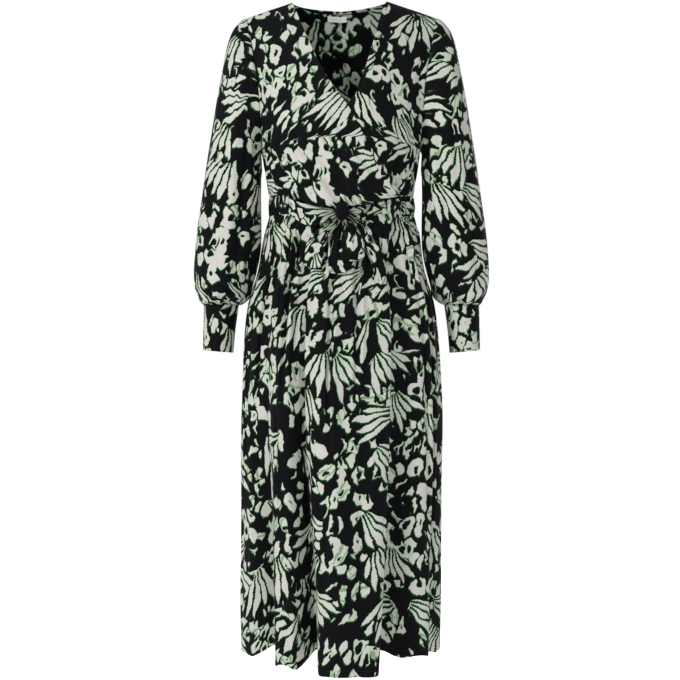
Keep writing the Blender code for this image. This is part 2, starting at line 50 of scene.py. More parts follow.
# %% [markdown]
# ## Camera and floor
# The view is level and square on, from far enough away that the sleeves show their fronts only.
# One could set a focal length by eye. Here it follows from the width of the view at the side
# seams, so that a size read off the picture is a size on the dress.
# %% Place the camera
VIEW_WIDE = 1.258
CAMERA_AWAY = 2.4
CAMERA_ACROSS, CAMERA_UP = -0.0028, -0.60345
FLOOR_UP = -1.42

lens = bpy.data.cameras.new("camera")
lens.sensor_width = 36.0
lens.lens = lens.sensor_width * CAMERA_AWAY / VIEW_WIDE
camera = bpy.data.objects.new("camera", lens)
camera.location = (CAMERA_ACROSS, -CAMERA_AWAY, CAMERA_UP)
camera.rotation_euler = (math.pi / 2, 0, 0)
bpy.context.scene.collection.objects.link(camera)
bpy.context.scene.camera = camera
print("lens:", round(lens.lens, 1), "mm")

# %% Make the floor
def plain_material(name, colour, roughness):
    made = bpy.data.materials.new(name)
    made.use_nodes = True
    shader = made.node_tree.nodes["Principled BSDF"]
    shader.inputs["Base Color"].default_value = (*colour, 1)
    shader.inputs["Roughness"].default_value = roughness
    return made


work = bmesh.new()
bmesh.ops.create_grid(work, x_segments=1, y_segments=1, size=8)
bmesh.ops.translate(work, verts=work.verts, vec=(0, 0, FLOOR_UP))
floor_mesh = bpy.data.meshes.new("floor")
work.to_mesh(floor_mesh)
work.free()
floor = bpy.data.objects.new("floor", floor_mesh)
floor.data.materials.append(plain_material("floor", (0.97, 0.97, 0.97), 0.9))
bpy.context.scene.collection.objects.link(floor)

# %% [markdown]
# ## Shader maths written as sums
# A print is a lot of arithmetic on the cloth's coordinates. It could be wired node by node. A
# small class that wraps a node's output and adds the Math node behind each + or * keeps it as
# short as the formula, so the design can be read and changed.
# %% Wires and finishes
def plug(socket, value):
    """Link a wire to a socket, or set the socket to a plain value."""
    if isinstance(value, Wire):
        socket.id_data.links.new(value.socket, socket)
    else:
        socket.default_value = value


class Wire:
    """One output of a shader node. An expression on wires adds the Math nodes it needs."""

    def __init__(self, socket):
        self.socket = socket

    def math(self, operation, *values):
        node = self.socket.id_data.nodes.new("ShaderNodeMath")
        node.operation = operation
        for socket, value in zip(node.inputs, values):
            plug(socket, value)
        return Wire(node.outputs[0])

    def also(self, name):
        return Wire(self.socket.node.outputs[name])

    def __add__(self, other):
        return self.math("ADD", self, other)

    def __sub__(self, other):
        return self.math("SUBTRACT", self, other)

    def __rsub__(self, other):
        return self.math("SUBTRACT", other, self)

    def __mul__(self, other):
        return self.math("MULTIPLY", self, other)

    def __truediv__(self, other):
        return self.math("DIVIDE", self, other)

    def __rtruediv__(self, other):
        return self.math("DIVIDE", other, self)

    def __lt__(self, other):
        return self.math("LESS_THAN", self, other)

    def __gt__(self, other):
        return self.math("GREATER_THAN", self, other)

    __radd__, __rmul__ = __add__, __mul__

    def least(self, other):
        return self.math("MINIMUM", self, other)

    def most(self, other):
        return self.math("MAXIMUM", self, other)

    def size(self):
        return self.math("ABSOLUTE", self)

    def clamped(self):
        return self.least(1.0).most(0.0)


class Finish:
    """One material under construction. node() adds a node, sets it up and fills its inputs."""

    def __init__(self, name, roughness):
        self.material = bpy.data.materials.new(name)
        self.material.use_nodes = True
        self.nodes = self.material.node_tree.nodes
        self.shader = self.nodes["Principled BSDF"]
        self.shader.inputs["Roughness"].default_value = roughness

    def node(self, kind, inputs, output=0, **settings):
        made = self.nodes.new("ShaderNode" + kind)
        for key, value in settings.items():
            setattr(made, key, value)
        for key, value in inputs.items():
            plug(made.inputs[key], value)
        return Wire(made.outputs[output])

    def vector(self, operation, *values, output=0):
        inputs = dict(enumerate(values))
        return self.node("VectorMath", inputs, output, operation=operation)

    def scaled(self, vector, times):
        return self.node("VectorMath", {0: vector, "Scale": times}, operation="SCALE")

    def mixed(self, share, first, second):
        inputs = {0: share, 6: first, 7: second}
        return self.node("Mix", inputs, 2, data_type="RGBA")

    def set(self, **inputs):
        for key, value in inputs.items():
            plug(self.shader.inputs[key.replace("_", " ")], value)


# %% [markdown]
# ## Light
# A soft key from the upper left draws the folds, and a lamp beside the camera reaches into the
# neck. A plain white world would light the cloth evenly from all sides and flatten it. Here the
# world is seen as white and lights at less than half of that, and the floor glows as much as it
# lacks. A third lamp does for the back what the key does for the front.
# %% Light the studio
SKY_SEEN, SKY_LIGHT, FLOOR_GLOW = 1.0, 0.42, 0.6
LAMPS = (
    # name, place, points at, size, power in watts
    ("key", (-2.0, -2.1, 1.3), (0, 0, -0.4), 0.7, 68),
    ("front", (0.4, -2.9, 0.7), (0, 0, -0.3), 1.0, 16),
    ("back", (1.2, 2.9, 0.7), (0, 0, -0.4), 1.4, 45),
)


def add_lamp(name, place, target, size, power):
    data = bpy.data.lights.new(name, "AREA")
    data.shape, data.size, data.energy = "DISK", size, power
    lamp = bpy.data.objects.new(name, data)
    lamp.location = place
    aim = np.array(target, float) - np.array(place, float)
    away = math.hypot(aim[0], aim[1])
    lamp.rotation_euler = (math.atan2(away, -aim[2]), 0, math.atan2(aim[1], aim[0]) - math.pi / 2)
    bpy.context.scene.collection.objects.link(lamp)


for row in LAMPS:
    add_lamp(*row)
world = bpy.data.worlds.new("studio")
world.use_nodes = True
sky = world.node_tree.nodes
sky["Background"].inputs["Color"].default_value = (1, 1, 1, 1)
seen = Wire(sky.new("ShaderNodeLightPath").outputs["Is Camera Ray"])
plug(sky["Background"].inputs["Strength"], seen * (SKY_SEEN - SKY_LIGHT) + SKY_LIGHT)
bpy.context.scene.world = world
glow = floor.data.materials[0].node_tree.nodes["Principled BSDF"]
glow.inputs["Emission Color"].default_value = (1, 1, 1, 1)
glow.inputs["Emission Strength"].default_value = FLOOR_GLOW
bpy.context.scene.view_settings.view_transform = "Standard"
print("lamps:", len(LAMPS))

# %% [markdown]
# ## The print
# The cloth carries an all-over print of loose brush marks: fans of tapered strokes that spread
# from a root, and pebble shapes between them, some with a dark eye. A drawing of each motif
# would repeat visibly. Here cells of a Voronoi pattern each hold one fan or one pebble with its
# own turn, length and luck, and noise makes the edges waver like a brush. Each shape is worked
# out as millimetres inside its edge, less than nothing outside. The design is a generic one.
# %% The brush marks
TAU = math.tau
OUTSIDE = -9.0
FAN_CELL, FAN_ROOT, FAN_WEDGE, FAN_SPREAD = 84.0, 62.0, math.radians(12.4), 0.8
FAN_FEW, FAN_MORE, FAN_BESIDE = 0.9, 1.9, 0.3
STROKE_WIDE, STROKE_GAP, STROKE_SHORT, STROKE_LONG, STROKE_START = 6.9, 1.9, 64.0, 108.0, 20.0
FAN_SHARE, FAN_MARGIN, FAN_LEAN, FAN_TURNS = 0.66, 4.0, 0.25, 2.7
TEETH_LONG, TEETH_DEEP = 5.4, 0.3
LOT_BY_STROKE, LOT_BY_FAN = 7.31, 97
PEBBLE_CELL, PEBBLE_SHARE, PEBBLE_TALL, PEBBLE_LEAST, PEBBLE_MOST = 21.0, 0.93, 0.62, 7.0, 13.6
GAP_SIZE, GAP_MIDDLE, GAP_SPREAD, GAP_JOINED = 34.0, 0.35, 12.0, 0.75
EYE_LEAST, EYE_MOST = -2.0, 6.4
CUT_SPACING, CUT_WIDE, CUT_SHARE, UNCUT = 10.0, 1.3, 0.28, 9.0
BARE_SIZE, BARE_LEVEL, BARE_EDGE = 40.0, 0.645, 90.0
WAVER_FINE, WAVER_SHORT, WAVER_FAN, WAVER_LONG = (4.5, 1.8), (13.0, 8.0), (30.0, 12.0), (46.0, 24.0)


def wavered(finish, place, size, reach):
    """Coordinates pushed about by noise of a size, as far as half the reach."""
    noise = finish.node(
        "TexNoise", {"Vector": place, "Scale": 1 / size, "Detail": 1.0}, "Color", noise_dimensions="2D"
    )
    pushed = finish.vector("SUBTRACT", noise, (0.5, 0.5, 0.5))
    return finish.vector("ADD", place, finish.scaled(pushed, reach))


def cloudy(finish, place, size, detail):
    """Soft noise from 0 to 1 with patches of a size."""
    inputs = {"Vector": place, "Scale": 1 / size, "Detail": detail}
    return finish.node("TexNoise", inputs, "Fac", noise_dimensions="2D")


def only_where(distance, kept):
    return (distance - OUTSIDE) * kept + OUTSIDE


def fans(finish, place):
    """The fans of strokes, and the ground that they keep clear round them."""
    cell = finish.node(
        "TexVoronoi", {"Vector": place, "Scale": 1 / FAN_CELL, "Randomness": FAN_SPREAD}, "Position",
        voronoi_dimensions="2D",
    )
    luck = finish.node("SeparateColor", {0: cell.also("Color")})
    local = finish.vector("SUBTRACT", place, cell)
    turned = finish.node(
        "VectorRotate", {"Vector": local, "Angle": luck * FAN_TURNS + FAN_LEAN}, rotation_type="Z_AXIS"
    )
    across = finish.node("SeparateXYZ", {0: turned})
    along = across + FAN_ROOT
    side = across.also("Y")
    away = side.math("SQRT", along * along + side * side)
    angle = side.math("ARCTAN2", side, along) / FAN_WEDGE
    several = luck.also("Green") * FAN_MORE + FAN_FEW
    strokes = several.math("ROUND", several)
    number = angle.math("FLOOR", angle)
    inside = angle - number - 0.5
    lot = number * LOT_BY_STROKE + luck.also("Green") * LOT_BY_FAN
    draw = finish.node("TexWhiteNoise", {"W": lot}, "Value", noise_dimensions="1D")
    end = draw * (STROKE_LONG - STROKE_SHORT) + STROKE_SHORT
    half = (end - STROKE_START) / 2
    share = (away - half - STROKE_START) / half
    taper = (1 - share * share) * STROKE_WIDE
    room = away * (FAN_WEDGE / 2) - STROKE_GAP
    teeth = away.math("SINE", away * (TAU / TEETH_LONG)) * TEETH_DEEP
    stroke = taper.least(room) + teeth - inside.size() * away * FAN_WEDGE
    held = luck.also("Blue") < FAN_SHARE
    beside = (strokes + FAN_BESIDE - angle.size()) * away * FAN_WEDGE
    clear = (end + FAN_MARGIN - away).least(beside).least(away - STROKE_START)
    return only_where(stroke, held * (angle.size() < strokes)), only_where(clear, held)


def pebbles(finish, place):
    """Rounded petals and pebbles, some with a dark eye and some cut by thin dark lines."""
    flat = finish.vector("MULTIPLY", place, (1.0, PEBBLE_TALL, 1.0))
    sizes = {"Vector": flat, "Scale": 1 / PEBBLE_CELL, "Randomness": 1.0}
    middle = finish.node("TexVoronoi", sizes, "Distance", voronoi_dimensions="2D")
    luck = finish.node("SeparateColor", {0: middle.also("Color")})
    rim = finish.node(
        "TexVoronoi", sizes, "Distance", voronoi_dimensions="2D", feature="DISTANCE_TO_EDGE"
    )
    bare = cloudy(finish, place, BARE_SIZE, 0.0)
    gap = (cloudy(finish, place, GAP_SIZE, 0.0) - GAP_MIDDLE) * GAP_SPREAD
    gap = gap + gap.least(0.0) * 2
    reach = luck.also("Blue") * (PEBBLE_MOST - PEBBLE_LEAST) + PEBBLE_LEAST - gap.least(0.0) * GAP_JOINED
    body = (rim * PEBBLE_CELL - gap).least(reach - middle * PEBBLE_CELL)
    eye = middle * PEBBLE_CELL - (luck.also("Blue") * (EYE_MOST - EYE_LEAST) + EYE_LEAST)
    local = finish.vector("SUBTRACT", flat, middle.also("Position"))
    turned = finish.node(
        "VectorRotate", {"Vector": local, "Angle": luck * TAU}, rotation_type="Z_AXIS"
    )
    lane = finish.node("SeparateXYZ", {0: turned}) / CUT_SPACING
    cut = (lane.math("FRACT", lane) - 0.5).size() * CUT_SPACING - CUT_WIDE
    cut = cut.most((luck.also("Green") > CUT_SHARE) * UNCUT)
    shape = body.least(eye).least(cut).least((BARE_LEVEL - bare) * BARE_EDGE)
    return only_where(shape, luck < PEBBLE_SHARE)


def brush_marks(finish, place):
    place = wavered(finish, place, *WAVER_FINE)
    fan, clear = fans(finish, wavered(finish, place, *WAVER_FAN))
    pebble = pebbles(finish, wavered(finish, wavered(finish, place, *WAVER_SHORT), *WAVER_LONG))
    return fan.most(pebble.least(0 - clear))


# %% [markdown]
# Every mark is greige in its middle, pale green along its edge and ringed by a thin deep green
# line, because the light colour is printed a little off its green under-colour. The distance
# inside a mark gives all three, and a second set of marks, moved down and aside, widens the
# ring on one side. On the back of the cloth the ink has soaked through, so it shows more green.
# Its greige is painted lighter than the face's, as painted light for the shaded inside of the dress.
# %% The printed cloth, face and reverse
GROUND, GREIGE = (0.0027, 0.0027, 0.0036, 1), (0.50, 0.472, 0.452, 1)
GREEN_PALE, GREEN_DEEP = (0.38, 0.52, 0.34, 1), (0.008, 0.058, 0.022, 1)
OFF_REGISTER, RING_LEAST, RING_SOFT, EDGE_SOFT = (0.8, 2.4, 0), 0.7, 1.4, 2.0
UNEVEN_SIZE, UNEVEN_SHADE, UNEVEN_ROUGH, YARN, YARN_HIGH, NAP = 40.0, 0.94, 0.12, 0.42, 0.06, 0.02
CLOTH_MM = 1000.0


def darker(colour, share):
    return tuple(value * share for value in colour[:3]) + (1,)


def raised(finish, height, high, strength):
    """A bump in the shading, high in millimetres where the height is 1."""
    inputs = {"Height": height, "Distance": high * MM, "Strength": strength}
    return finish.node("Bump", inputs, "Normal")


def printed_cloth(name, light, pale_wide, ring_wide, roughness):
    finish = Finish(name, roughness)
    cloth = finish.node("UVMap", {}, uv_map="cloth")
    place = finish.scaled(cloth, CLOTH_MM)
    marks = brush_marks(finish, place)
    under = brush_marks(finish, finish.vector("ADD", place, OFF_REGISTER))
    uneven = cloudy(finish, place, UNEVEN_SIZE, 2.0)
    ring = (marks + RING_LEAST).most(under + ring_wide)
    edge = finish.mixed((ring / RING_SOFT).clamped(), GROUND, GREEN_DEEP)
    shade = finish.mixed(uneven, light, darker(light, UNEVEN_SHADE))
    inner = finish.mixed((marks / pale_wide).clamped(), GREEN_PALE, shade)
    ink = finish.mixed((marks * EDGE_SOFT + 0.5).clamped(), edge, inner)
    lanes = finish.node("SeparateXYZ", {0: place})
    warp = lanes.math("SINE", lanes * (TAU / YARN))
    weft = lanes.math("SINE", lanes.also("Y") * (TAU / YARN))
    finish.set(Base_Color=ink, Normal=raised(finish, warp * weft, YARN_HIGH, 0.5))
    finish.set(Roughness=uneven * UNEVEN_ROUGH + roughness, Specular_IOR_Level=0.06)
    finish.set(Sheen_Weight=NAP, Sheen_Roughness=0.5)
    return finish.material


print_face = printed_cloth("print_face", GREIGE, 2.0, 0.6, 0.66)
# The reverse's lighter greige is painted light: it brightens the inside of the dress, which lies in shade.
print_reverse_painted_light = printed_cloth("print_reverse_painted_light", (0.60, 0.58, 0.55, 1), 3.0, 1.4, 0.74)
print("print nodes:", len(print_face.node_tree.nodes))

# %% [markdown]
# ## Sizes of the dress
# Everything below is in millimetres and becomes metres when a piece is sewn. A curve of the
# pattern, such as a side seam, is a short table of places and values. A smooth curve is read
# through its rows, as a pattern cutter draws one through marked points.
# %% Curves through short tables
FRONT, BACK = -1, 1
RIGHT, LEFT = -1, 1
SEAM_GAP = 0.4
WAIST_TOP, WAIST_LOW, HEM = -341.0, -376.0, -1171.0
SHOULDER_TIP = (174.5, -9.0)


def read(table, place):
    """The smooth curve through a table's rows, at one or many places of its first column."""
    rows = np.asarray(sorted(table), float)
    at, values = rows[:, 0], rows[:, 1:]
    slope = np.gradient(values, at, axis=0)
    place = np.clip(np.asarray(place, float), at[0], at[-1])
    first = np.clip(np.searchsorted(at, place, side="right") - 1, 0, len(at) - 2)
    span = at[first + 1] - at[first]
    t = ((place - at[first]) / span)[..., None]
    span = span[..., None]
    ends = values[first] * (2 * t**3 - 3 * t**2 + 1) + values[first + 1] * (3 * t**2 - 2 * t**3)
    leans = slope[first] * (t**3 - 2 * t**2 + t) + slope[first + 1] * (t**3 - t**2)
    return ends + leans * span


def eased(value):
    value = np.clip(value, 0, 1)
    return value * value * (3 - 2 * value)


def bump(distance, half_width):
    """One rounded ridge, 1 in the middle and 0 at the half width."""
    share = np.clip(np.abs(distance) / half_width, 0, 1)
    return np.cos(share * math.pi / 2) ** 2


# %% [markdown]
# ## From flat cloth to a worn panel
# A panel could be sculpted, or simulated from its flat cut. Here each one starts as a flat grid
# from one operator, and every point is moved to its place on the body. That keeps the fit exact
# and keeps the cloth's own coordinates: they go into the UV map in metres, measured along the
# finished folds, so a print lies on the cloth and is squeezed where the cloth is gathered.
# %% Panels from grids
SURE_TURN, TINY, LEAST_STEP = 0.2, 1e-9, 0.3
BEND_PARTS, FLAT_PARTS = (0.25, 0.5, 0.75, 1.0), (0.5, 1.0)


def unit(vectors):
    """The same directions with a length of 1."""
    return vectors / np.maximum(np.linalg.norm(vectors, axis=-1, keepdims=True), TINY)


def run_along(line):
    """How far each point of a line is from its start, along it."""
    return np.concatenate([[0], np.cumsum(np.linalg.norm(np.diff(line, axis=0), axis=1))])


def at_distance(line, along, distance):
    """The point of a line at a distance from its start, where along is its run_along."""
    return [np.interp(distance, along, line[:, axis]) for axis in range(3)]


def normals_of(points, inside, closed=False):
    """Unit normals of a grid of points, pointing away from the points inside."""
    down = np.gradient(points, axis=0)
    if closed:
        ring = points[:, :-1]
        across = np.roll(ring, -1, axis=1) - np.roll(ring, 1, axis=1)
        across = np.concatenate([across, across[:, :1]], axis=1)
    else:
        across = np.gradient(points, axis=1)
    normal = np.cross(across, down)
    if np.sum(normal * (points - inside)) < 0:
        normal = -normal
    return unit(normal)


def on_axis(points):
    """The points of the centre line level with those of a grid."""
    return points * np.array([0, 0, 1])


def measured(points, middle, start=(0.0, 0.0), drawn_up=1.0, from_cuff=False):
    """The cloth's own coordinates of each point: along its row from the column named middle,
    and down the panel. start sets where on the bolt the panel was cut. drawn_up is how much
    more cloth each row holds than can be seen. A sleeve is measured up from its cuff, because
    its head is cut on a curve."""
    fall = np.linalg.norm(np.diff(points, axis=0), axis=2)
    if from_cuff:
        down = -np.concatenate([np.cumsum(fall[::-1], axis=0)[::-1], 0 * fall[:1]])
    else:
        down = np.concatenate([[0], np.cumsum(np.median(fall, axis=1))])[:, None] + 0 * points[..., 0]
    steps = np.linalg.norm(np.diff(points, axis=1), axis=2)
    steps = np.sqrt(np.maximum(steps**2 - np.diff(down, axis=1) ** 2, (LEAST_STEP * steps) ** 2))
    across = np.concatenate([np.zeros((len(points), 1)), np.cumsum(steps, axis=1)], axis=1)
    across = (across - across[:, middle : middle + 1]) * drawn_up
    return np.stack([start[0] + across, start[1] - down], axis=-1)


def finish_edge(points, cloth, edge, inside, radius, turn, flat, closed=False):
    """The edge of a panel bent inwards round a small radius: through 90 degrees at a seam and
    180 at a hem, where the cloth runs on flat for a while."""
    turned = edge in ("left", "right")
    grid = [np.swapaxes(a, 0, 1) if turned else a for a in (points, cloth, inside)]
    if edge in ("left", "top"):
        grid = [a[::-1] for a in grid]
    points, cloth, inside = (np.array(a, float) for a in grid)
    off = unit(points[-1] - points[-2])
    if closed:
        ring = points[-1][:-1]
        side = np.roll(ring, -1, axis=0) - np.roll(ring, 1, axis=0)
        side = np.concatenate([side, side[:1]])
    else:
        side = np.gradient(points[-1], axis=0)
    inward = unit(np.cross(off, side))
    toward = inside[-1] - points[-1]
    toward = unit(toward - off * np.sum(toward * off, axis=1, keepdims=True))
    inward = np.where(np.sum(inward * toward, axis=1, keepdims=True) > SURE_TURN, inward, toward)
    points[-1] -= off * radius
    last, on = points[-1], unit(cloth[-1] - cloth[-2])
    turn = np.radians(np.broadcast_to(np.asarray(turn, float), len(last)))[:, None]
    flat = np.broadcast_to(np.asarray(flat, float), len(last))[:, None]
    rows, uvs = [], []
    for part in BEND_PARTS:
        a = turn * part
        rows.append(last + radius * (off * np.sin(a) + inward * (1 - np.cos(a))))
        uvs.append(cloth[-1] + on * radius * a)
    way = off * np.cos(turn) + inward * np.sin(turn)
    bent, bent_cloth = rows[-1], uvs[-1]
    for part in FLAT_PARTS:
        rows.append(bent + way * flat * part)
        uvs.append(bent_cloth + on * flat * part)
    points = np.concatenate([points, rows])
    cloth = np.concatenate([cloth, uvs])
    inside = np.concatenate([inside, [inside[-1]] * len(rows)])
    grid = [points, cloth, inside]
    if edge in ("left", "top"):
        grid = [a[::-1] for a in grid]
    return [np.swapaxes(a, 0, 1) if turned else a for a in grid]


STITCH_PROUD, STITCH_IN = 0.12, 1.0
seams = {name + "_stitches": [] for name in ("hem", "wrap", "neck", "waist", "cuff")}


def seam_line(points, inside, edge, distance, closed=False):
    """A line over a panel at a distance from one of its edges, a little proud of the cloth."""
    grid = points + normals_of(points, inside, closed) * STITCH_PROUD
    if edge in ("left", "right"):
        grid = np.swapaxes(grid, 0, 1)
    if edge in ("right", "bottom"):
        grid = grid[::-1]
    line = []
    for run in np.swapaxes(grid, 0, 1):
        line.append(at_distance(run, run_along(run), distance))
    return np.array(line)


CLOTH_THICK, SAME_PLACE = 0.5, 1e-6
BODY = "root"


def sew(
    name, points, cloth, outward, closed=False, thick=CLOTH_THICK, finishes=None
):
    """A piece of cloth from one flat grid, each point moved to its place, with a thickness. Its
    finishes are the outer and the inner one. The solid it replaces is named by the piece."""
    rows, columns = points.shape[:2]
    work = bmesh.new()
    uv = work.loops.layers.uv.new("cloth")
    bmesh.ops.create_grid(work, x_segments=columns - 1, y_segments=rows - 1, size=0.5)
    for vertex in work.verts:
        column = round((vertex.co.x + 0.5) * (columns - 1))
        row = round((0.5 - vertex.co.y) * (rows - 1))
        vertex.index = row * columns + column
        vertex.co = points[row, column] * MM
    for face in work.faces:
        for loop in face.loops:
            loop[uv].uv = cloth[divmod(loop.vert.index, columns)] * MM
        face.smooth = True
    if closed:
        bmesh.ops.remove_doubles(work, verts=work.verts, dist=SAME_PLACE)
    work.normal_update()
    middle = (rows // 2, columns // 2)
    seen = min(work.verts, key=lambda v: (v.co - Vector(points[middle]) * MM).length)
    if seen.normal.dot(Vector(outward[middle])) < 0:
        bmesh.ops.reverse_faces(work, faces=work.faces)
    mesh = bpy.data.meshes.new(name)
    work.to_mesh(mesh)
    work.free()
    made = bpy.data.objects.new(name, mesh)
    bpy.context.scene.collection.objects.link(made)
    wall = made.modifiers.new("thickness", "SOLIDIFY")
    wall.thickness, wall.offset, wall.material_offset = thick * MM, -1, 1
    wall.material_offset_rim = 1
    for finish in finishes or (print_face, print_reverse_painted_light):
        mesh.materials.append(finish)
    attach(made, BODY)
    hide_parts(name.rsplit("_", 1)[0])
    area = sum(polygon.area for polygon in mesh.polygons)
    print(f"{name}: {len(mesh.polygons)} faces, {area:.4f} square metres")


SEAM_RADIUS, HEM_RADIUS, SEAM_TURN, HEM_TURN, SEAM_FLAT, WAIST_FLAT = 0.9, 0.7, 90, 180, 2.0, 5.0
SEAM, WAIST_SEAM = (SEAM_RADIUS, SEAM_TURN, SEAM_FLAT), (SEAM_RADIUS, SEAM_TURN, WAIST_FLAT)
SKIRT_SEAM = (HEM_RADIUS, SEAM_TURN, SEAM_FLAT)


def hem(deep):
    """How a hem of a depth is turned: its radius, its turn and its flat run."""
    return HEM_RADIUS, HEM_TURN, deep


def sew_panel(name, points, cloth, inside, edges, closed=False):
    """A panel sewn after its edges are turned in, one after another. Each of them is the name
    of an edge with its radius, its turn in degrees and how far the cloth then runs on flat."""
    for edge, turning in edges:
        points, cloth, inside = finish_edge(points, cloth, edge, inside, *turning, closed)
    sew(name, points, cloth, normals_of(points, inside, closed), closed)


# %% [markdown]
# ## Creases and gathers
# Folds could come from a noise texture, but noise looks like crumpled paper. Cloth that hangs
# has a few long soft troughs that start where it is held, with a ridge beside each. So each
# crease is one row of a table: where it starts and ends on the panel, its half width, its depth
# and how far it bows. Gathers start at a held edge, unevenly spaced, and fade at uneven lengths.
# %% Creases and gathers
FADE_FROM, FADE_POWER, FADE_PAST = 0.04, 0.6, 1.5
RIDGE_HIGH, RIDGE_AT, RIDGE_WIDE = 0.45, 1.9, 1.1
PLACE_LUCK, WIDE_LUCK, HIGH_LUCK, LONG_LUCK = (-0.3, 0.3), (0.42, 0.68), (0.55, 1.25), (0.35, 1.3)
GATHER_WIDEN, GATHER_FADE, GATHER_ROUND = 0.8, 1.6, 0.7


def creases(table, across, down, wide, tall):
    """The height of soft troughs over a panel. across and down are shares of the panel, which
    is wide and tall in millimetres."""
    x, y = across * wide, down * tall
    height = np.zeros(np.broadcast(x, y).shape)
    for x0, y0, x1, y1, half, deep, bow in table:
        run_x, run_y = (x1 - x0) * wide, (y1 - y0) * tall
        length = np.hypot(run_x, run_y)
        from_x, from_y = x - x0 * wide, y - y0 * tall
        along = (from_x * run_x + from_y * run_y) / length**2
        off = (from_x * run_y - from_y * run_x) / length
        off = off - bow * np.sin(np.clip(along, 0, 1) * math.pi)
        past = np.clip(np.maximum(-along, along - 1), 0, None) * length
        fade = np.sin(np.clip(along, FADE_FROM, 1 - FADE_FROM) * math.pi) ** FADE_POWER
        fade = fade * np.exp(-((past / (FADE_PAST * half)) ** 2))
        ridge = np.exp(-(((off - RIDGE_AT * half) / (RIDGE_WIDE * half)) ** 2))
        height = height - deep * fade * (np.exp(-((off / half) ** 2)) - RIDGE_HIGH * ridge)
    return height


def gathers(across, down, count, high, reach, lean, seed):
    """The height of gathers that start at down = 0. across runs from 0 to 1 and down is in
    millimetres. Their places, widths, heights and lengths are uneven."""
    chance = np.random.default_rng(seed)
    height = np.zeros(np.broadcast(across, down).shape)
    for number in range(count):
        at = (number + 0.5 + chance.uniform(*PLACE_LUCK)) / count
        half = chance.uniform(*WIDE_LUCK) / count
        tall = high * chance.uniform(*HIGH_LUCK)
        length = reach * chance.uniform(*LONG_LUCK)
        drift = lean * chance.uniform(-1, 1) / count
        widen = 1 + GATHER_WIDEN * np.clip(down / reach, 0, 2)
        fade = np.exp(-((np.clip(down, 0, None) / length) ** GATHER_FADE))
        ridge = bump(across - at - drift * down / reach, half * widen) ** GATHER_ROUND
        height = height + tall * fade * ridge
    return height


def waves(across, down, rows):
    """Long, shallow unevenness: rows of (waves across, waves down, turn in degrees, height)."""
    height = 0
    for many, long, turn, high in rows:
        height = height + high * np.sin(math.tau * (many * across + long * down) + math.radians(turn))
    return height


# %% [markdown]
# ## The bodice
# The bodice is two crossed fronts and one back. All three are cut from one rounded form, given
# by a table of half widths and depths, so they meet at the shoulder, armhole and side seams.
# The right front lies on top, a few millimetres clear of the left one, as cloth on cloth does.
# %% The bodice's form
SHOULDER_LINE = (
    # from the centre line, height
    (0, 42),
    (60, 29),
    (88, 20.5),
    (110, 13),
    (132, 6),
    (150, 0),
    SHOULDER_TIP,
)
BODICE_FORM = (
    # share from waist to shoulder, half width, depth of the front, depth of the back
    (0.00, 131, 92, 85),
    (0.13, 138, 106, 89),
    (0.25, 145, 117, 94),
    (0.36, 153, 118, 97),
    (0.45, 164, 114, 100),
    (0.58, 177, 101, 101),
    (0.72, 187, 86, 96),
    (0.84, 192, 74, 87),
    (1.00, 195, 62, 76),
)
SHOULDER_ROUNDING, SIDE_ROUNDNESS = 0.31, 0.92
BODICE_TALL, FINE_STEPS, MEASURED_AT = 360.0, 2000, 0.4
BUST_OUT, BUST_ACROSS, BUST_WIDE, BUST_SHARE, BUST_TALL = 7.0, 72.0, 42.0, 0.36, 0.17
ARMPIT_SHARE = 0.25
ARMHOLE = (
    # share of the height, from the centre line
    (ARMPIT_SHARE, 145),
    (0.35, 146),
    (0.453, 148),
    (0.577, 151),
    (0.72, 158),
    (0.836, 165),
    (0.94, 171.5),
    (1.0, SHOULDER_TIP[0]),
)


def shoulder_z(x):
    return read(SHOULDER_LINE, np.abs(x))[..., 0]


def edge_angle(share):
    """Where the bodice ends at the side: at the side seam, and above it at the armhole."""
    half = read(BODICE_FORM, share)[..., 0]
    reach = read(ARMHOLE, share)[..., 0]
    ratio = np.where(share <= ARMPIT_SHARE, 1.0, reach / half)
    return np.arcsin(np.clip(ratio, -1, 1))


def bodice_points(angle, share, side, out=0.0):
    """Points of the bodice, a distance out in front of its form."""
    form = read(BODICE_FORM, share)
    half, deep = form[..., 0], form[..., 1 if side == FRONT else 2]
    down = np.clip((1 - share) / SHOULDER_ROUNDING, 0, 1)
    round_off = np.sqrt(1 - (1 - down) ** 2)
    facing = np.clip(np.cos(angle), 0, 1) ** SIDE_ROUNDNESS
    x = half * np.sin(angle)
    depth = deep * facing * round_off
    if side == FRONT:
        bust = np.exp(-(((np.abs(x) - BUST_ACROSS) / BUST_WIDE) ** 2))
        depth = depth + BUST_OUT * bust * facing * np.exp(-(((share - BUST_SHARE) / BUST_TALL) ** 2))
    depth = depth + out * facing
    z = WAIST_TOP + share * (shoulder_z(x) - WAIST_TOP)
    return np.stack([x + out * np.sin(angle), side * (depth + SEAM_GAP / 2), z], axis=-1)


def even_shares(count):
    """Shares of the height, from the shoulder down, evenly spaced along the cloth."""
    fine = np.linspace(1, 0, FINE_STEPS)
    along = run_along(bodice_points(np.full_like(fine, MEASURED_AT), fine, FRONT))
    return np.interp(np.linspace(0, along[-1], count), along, fine)


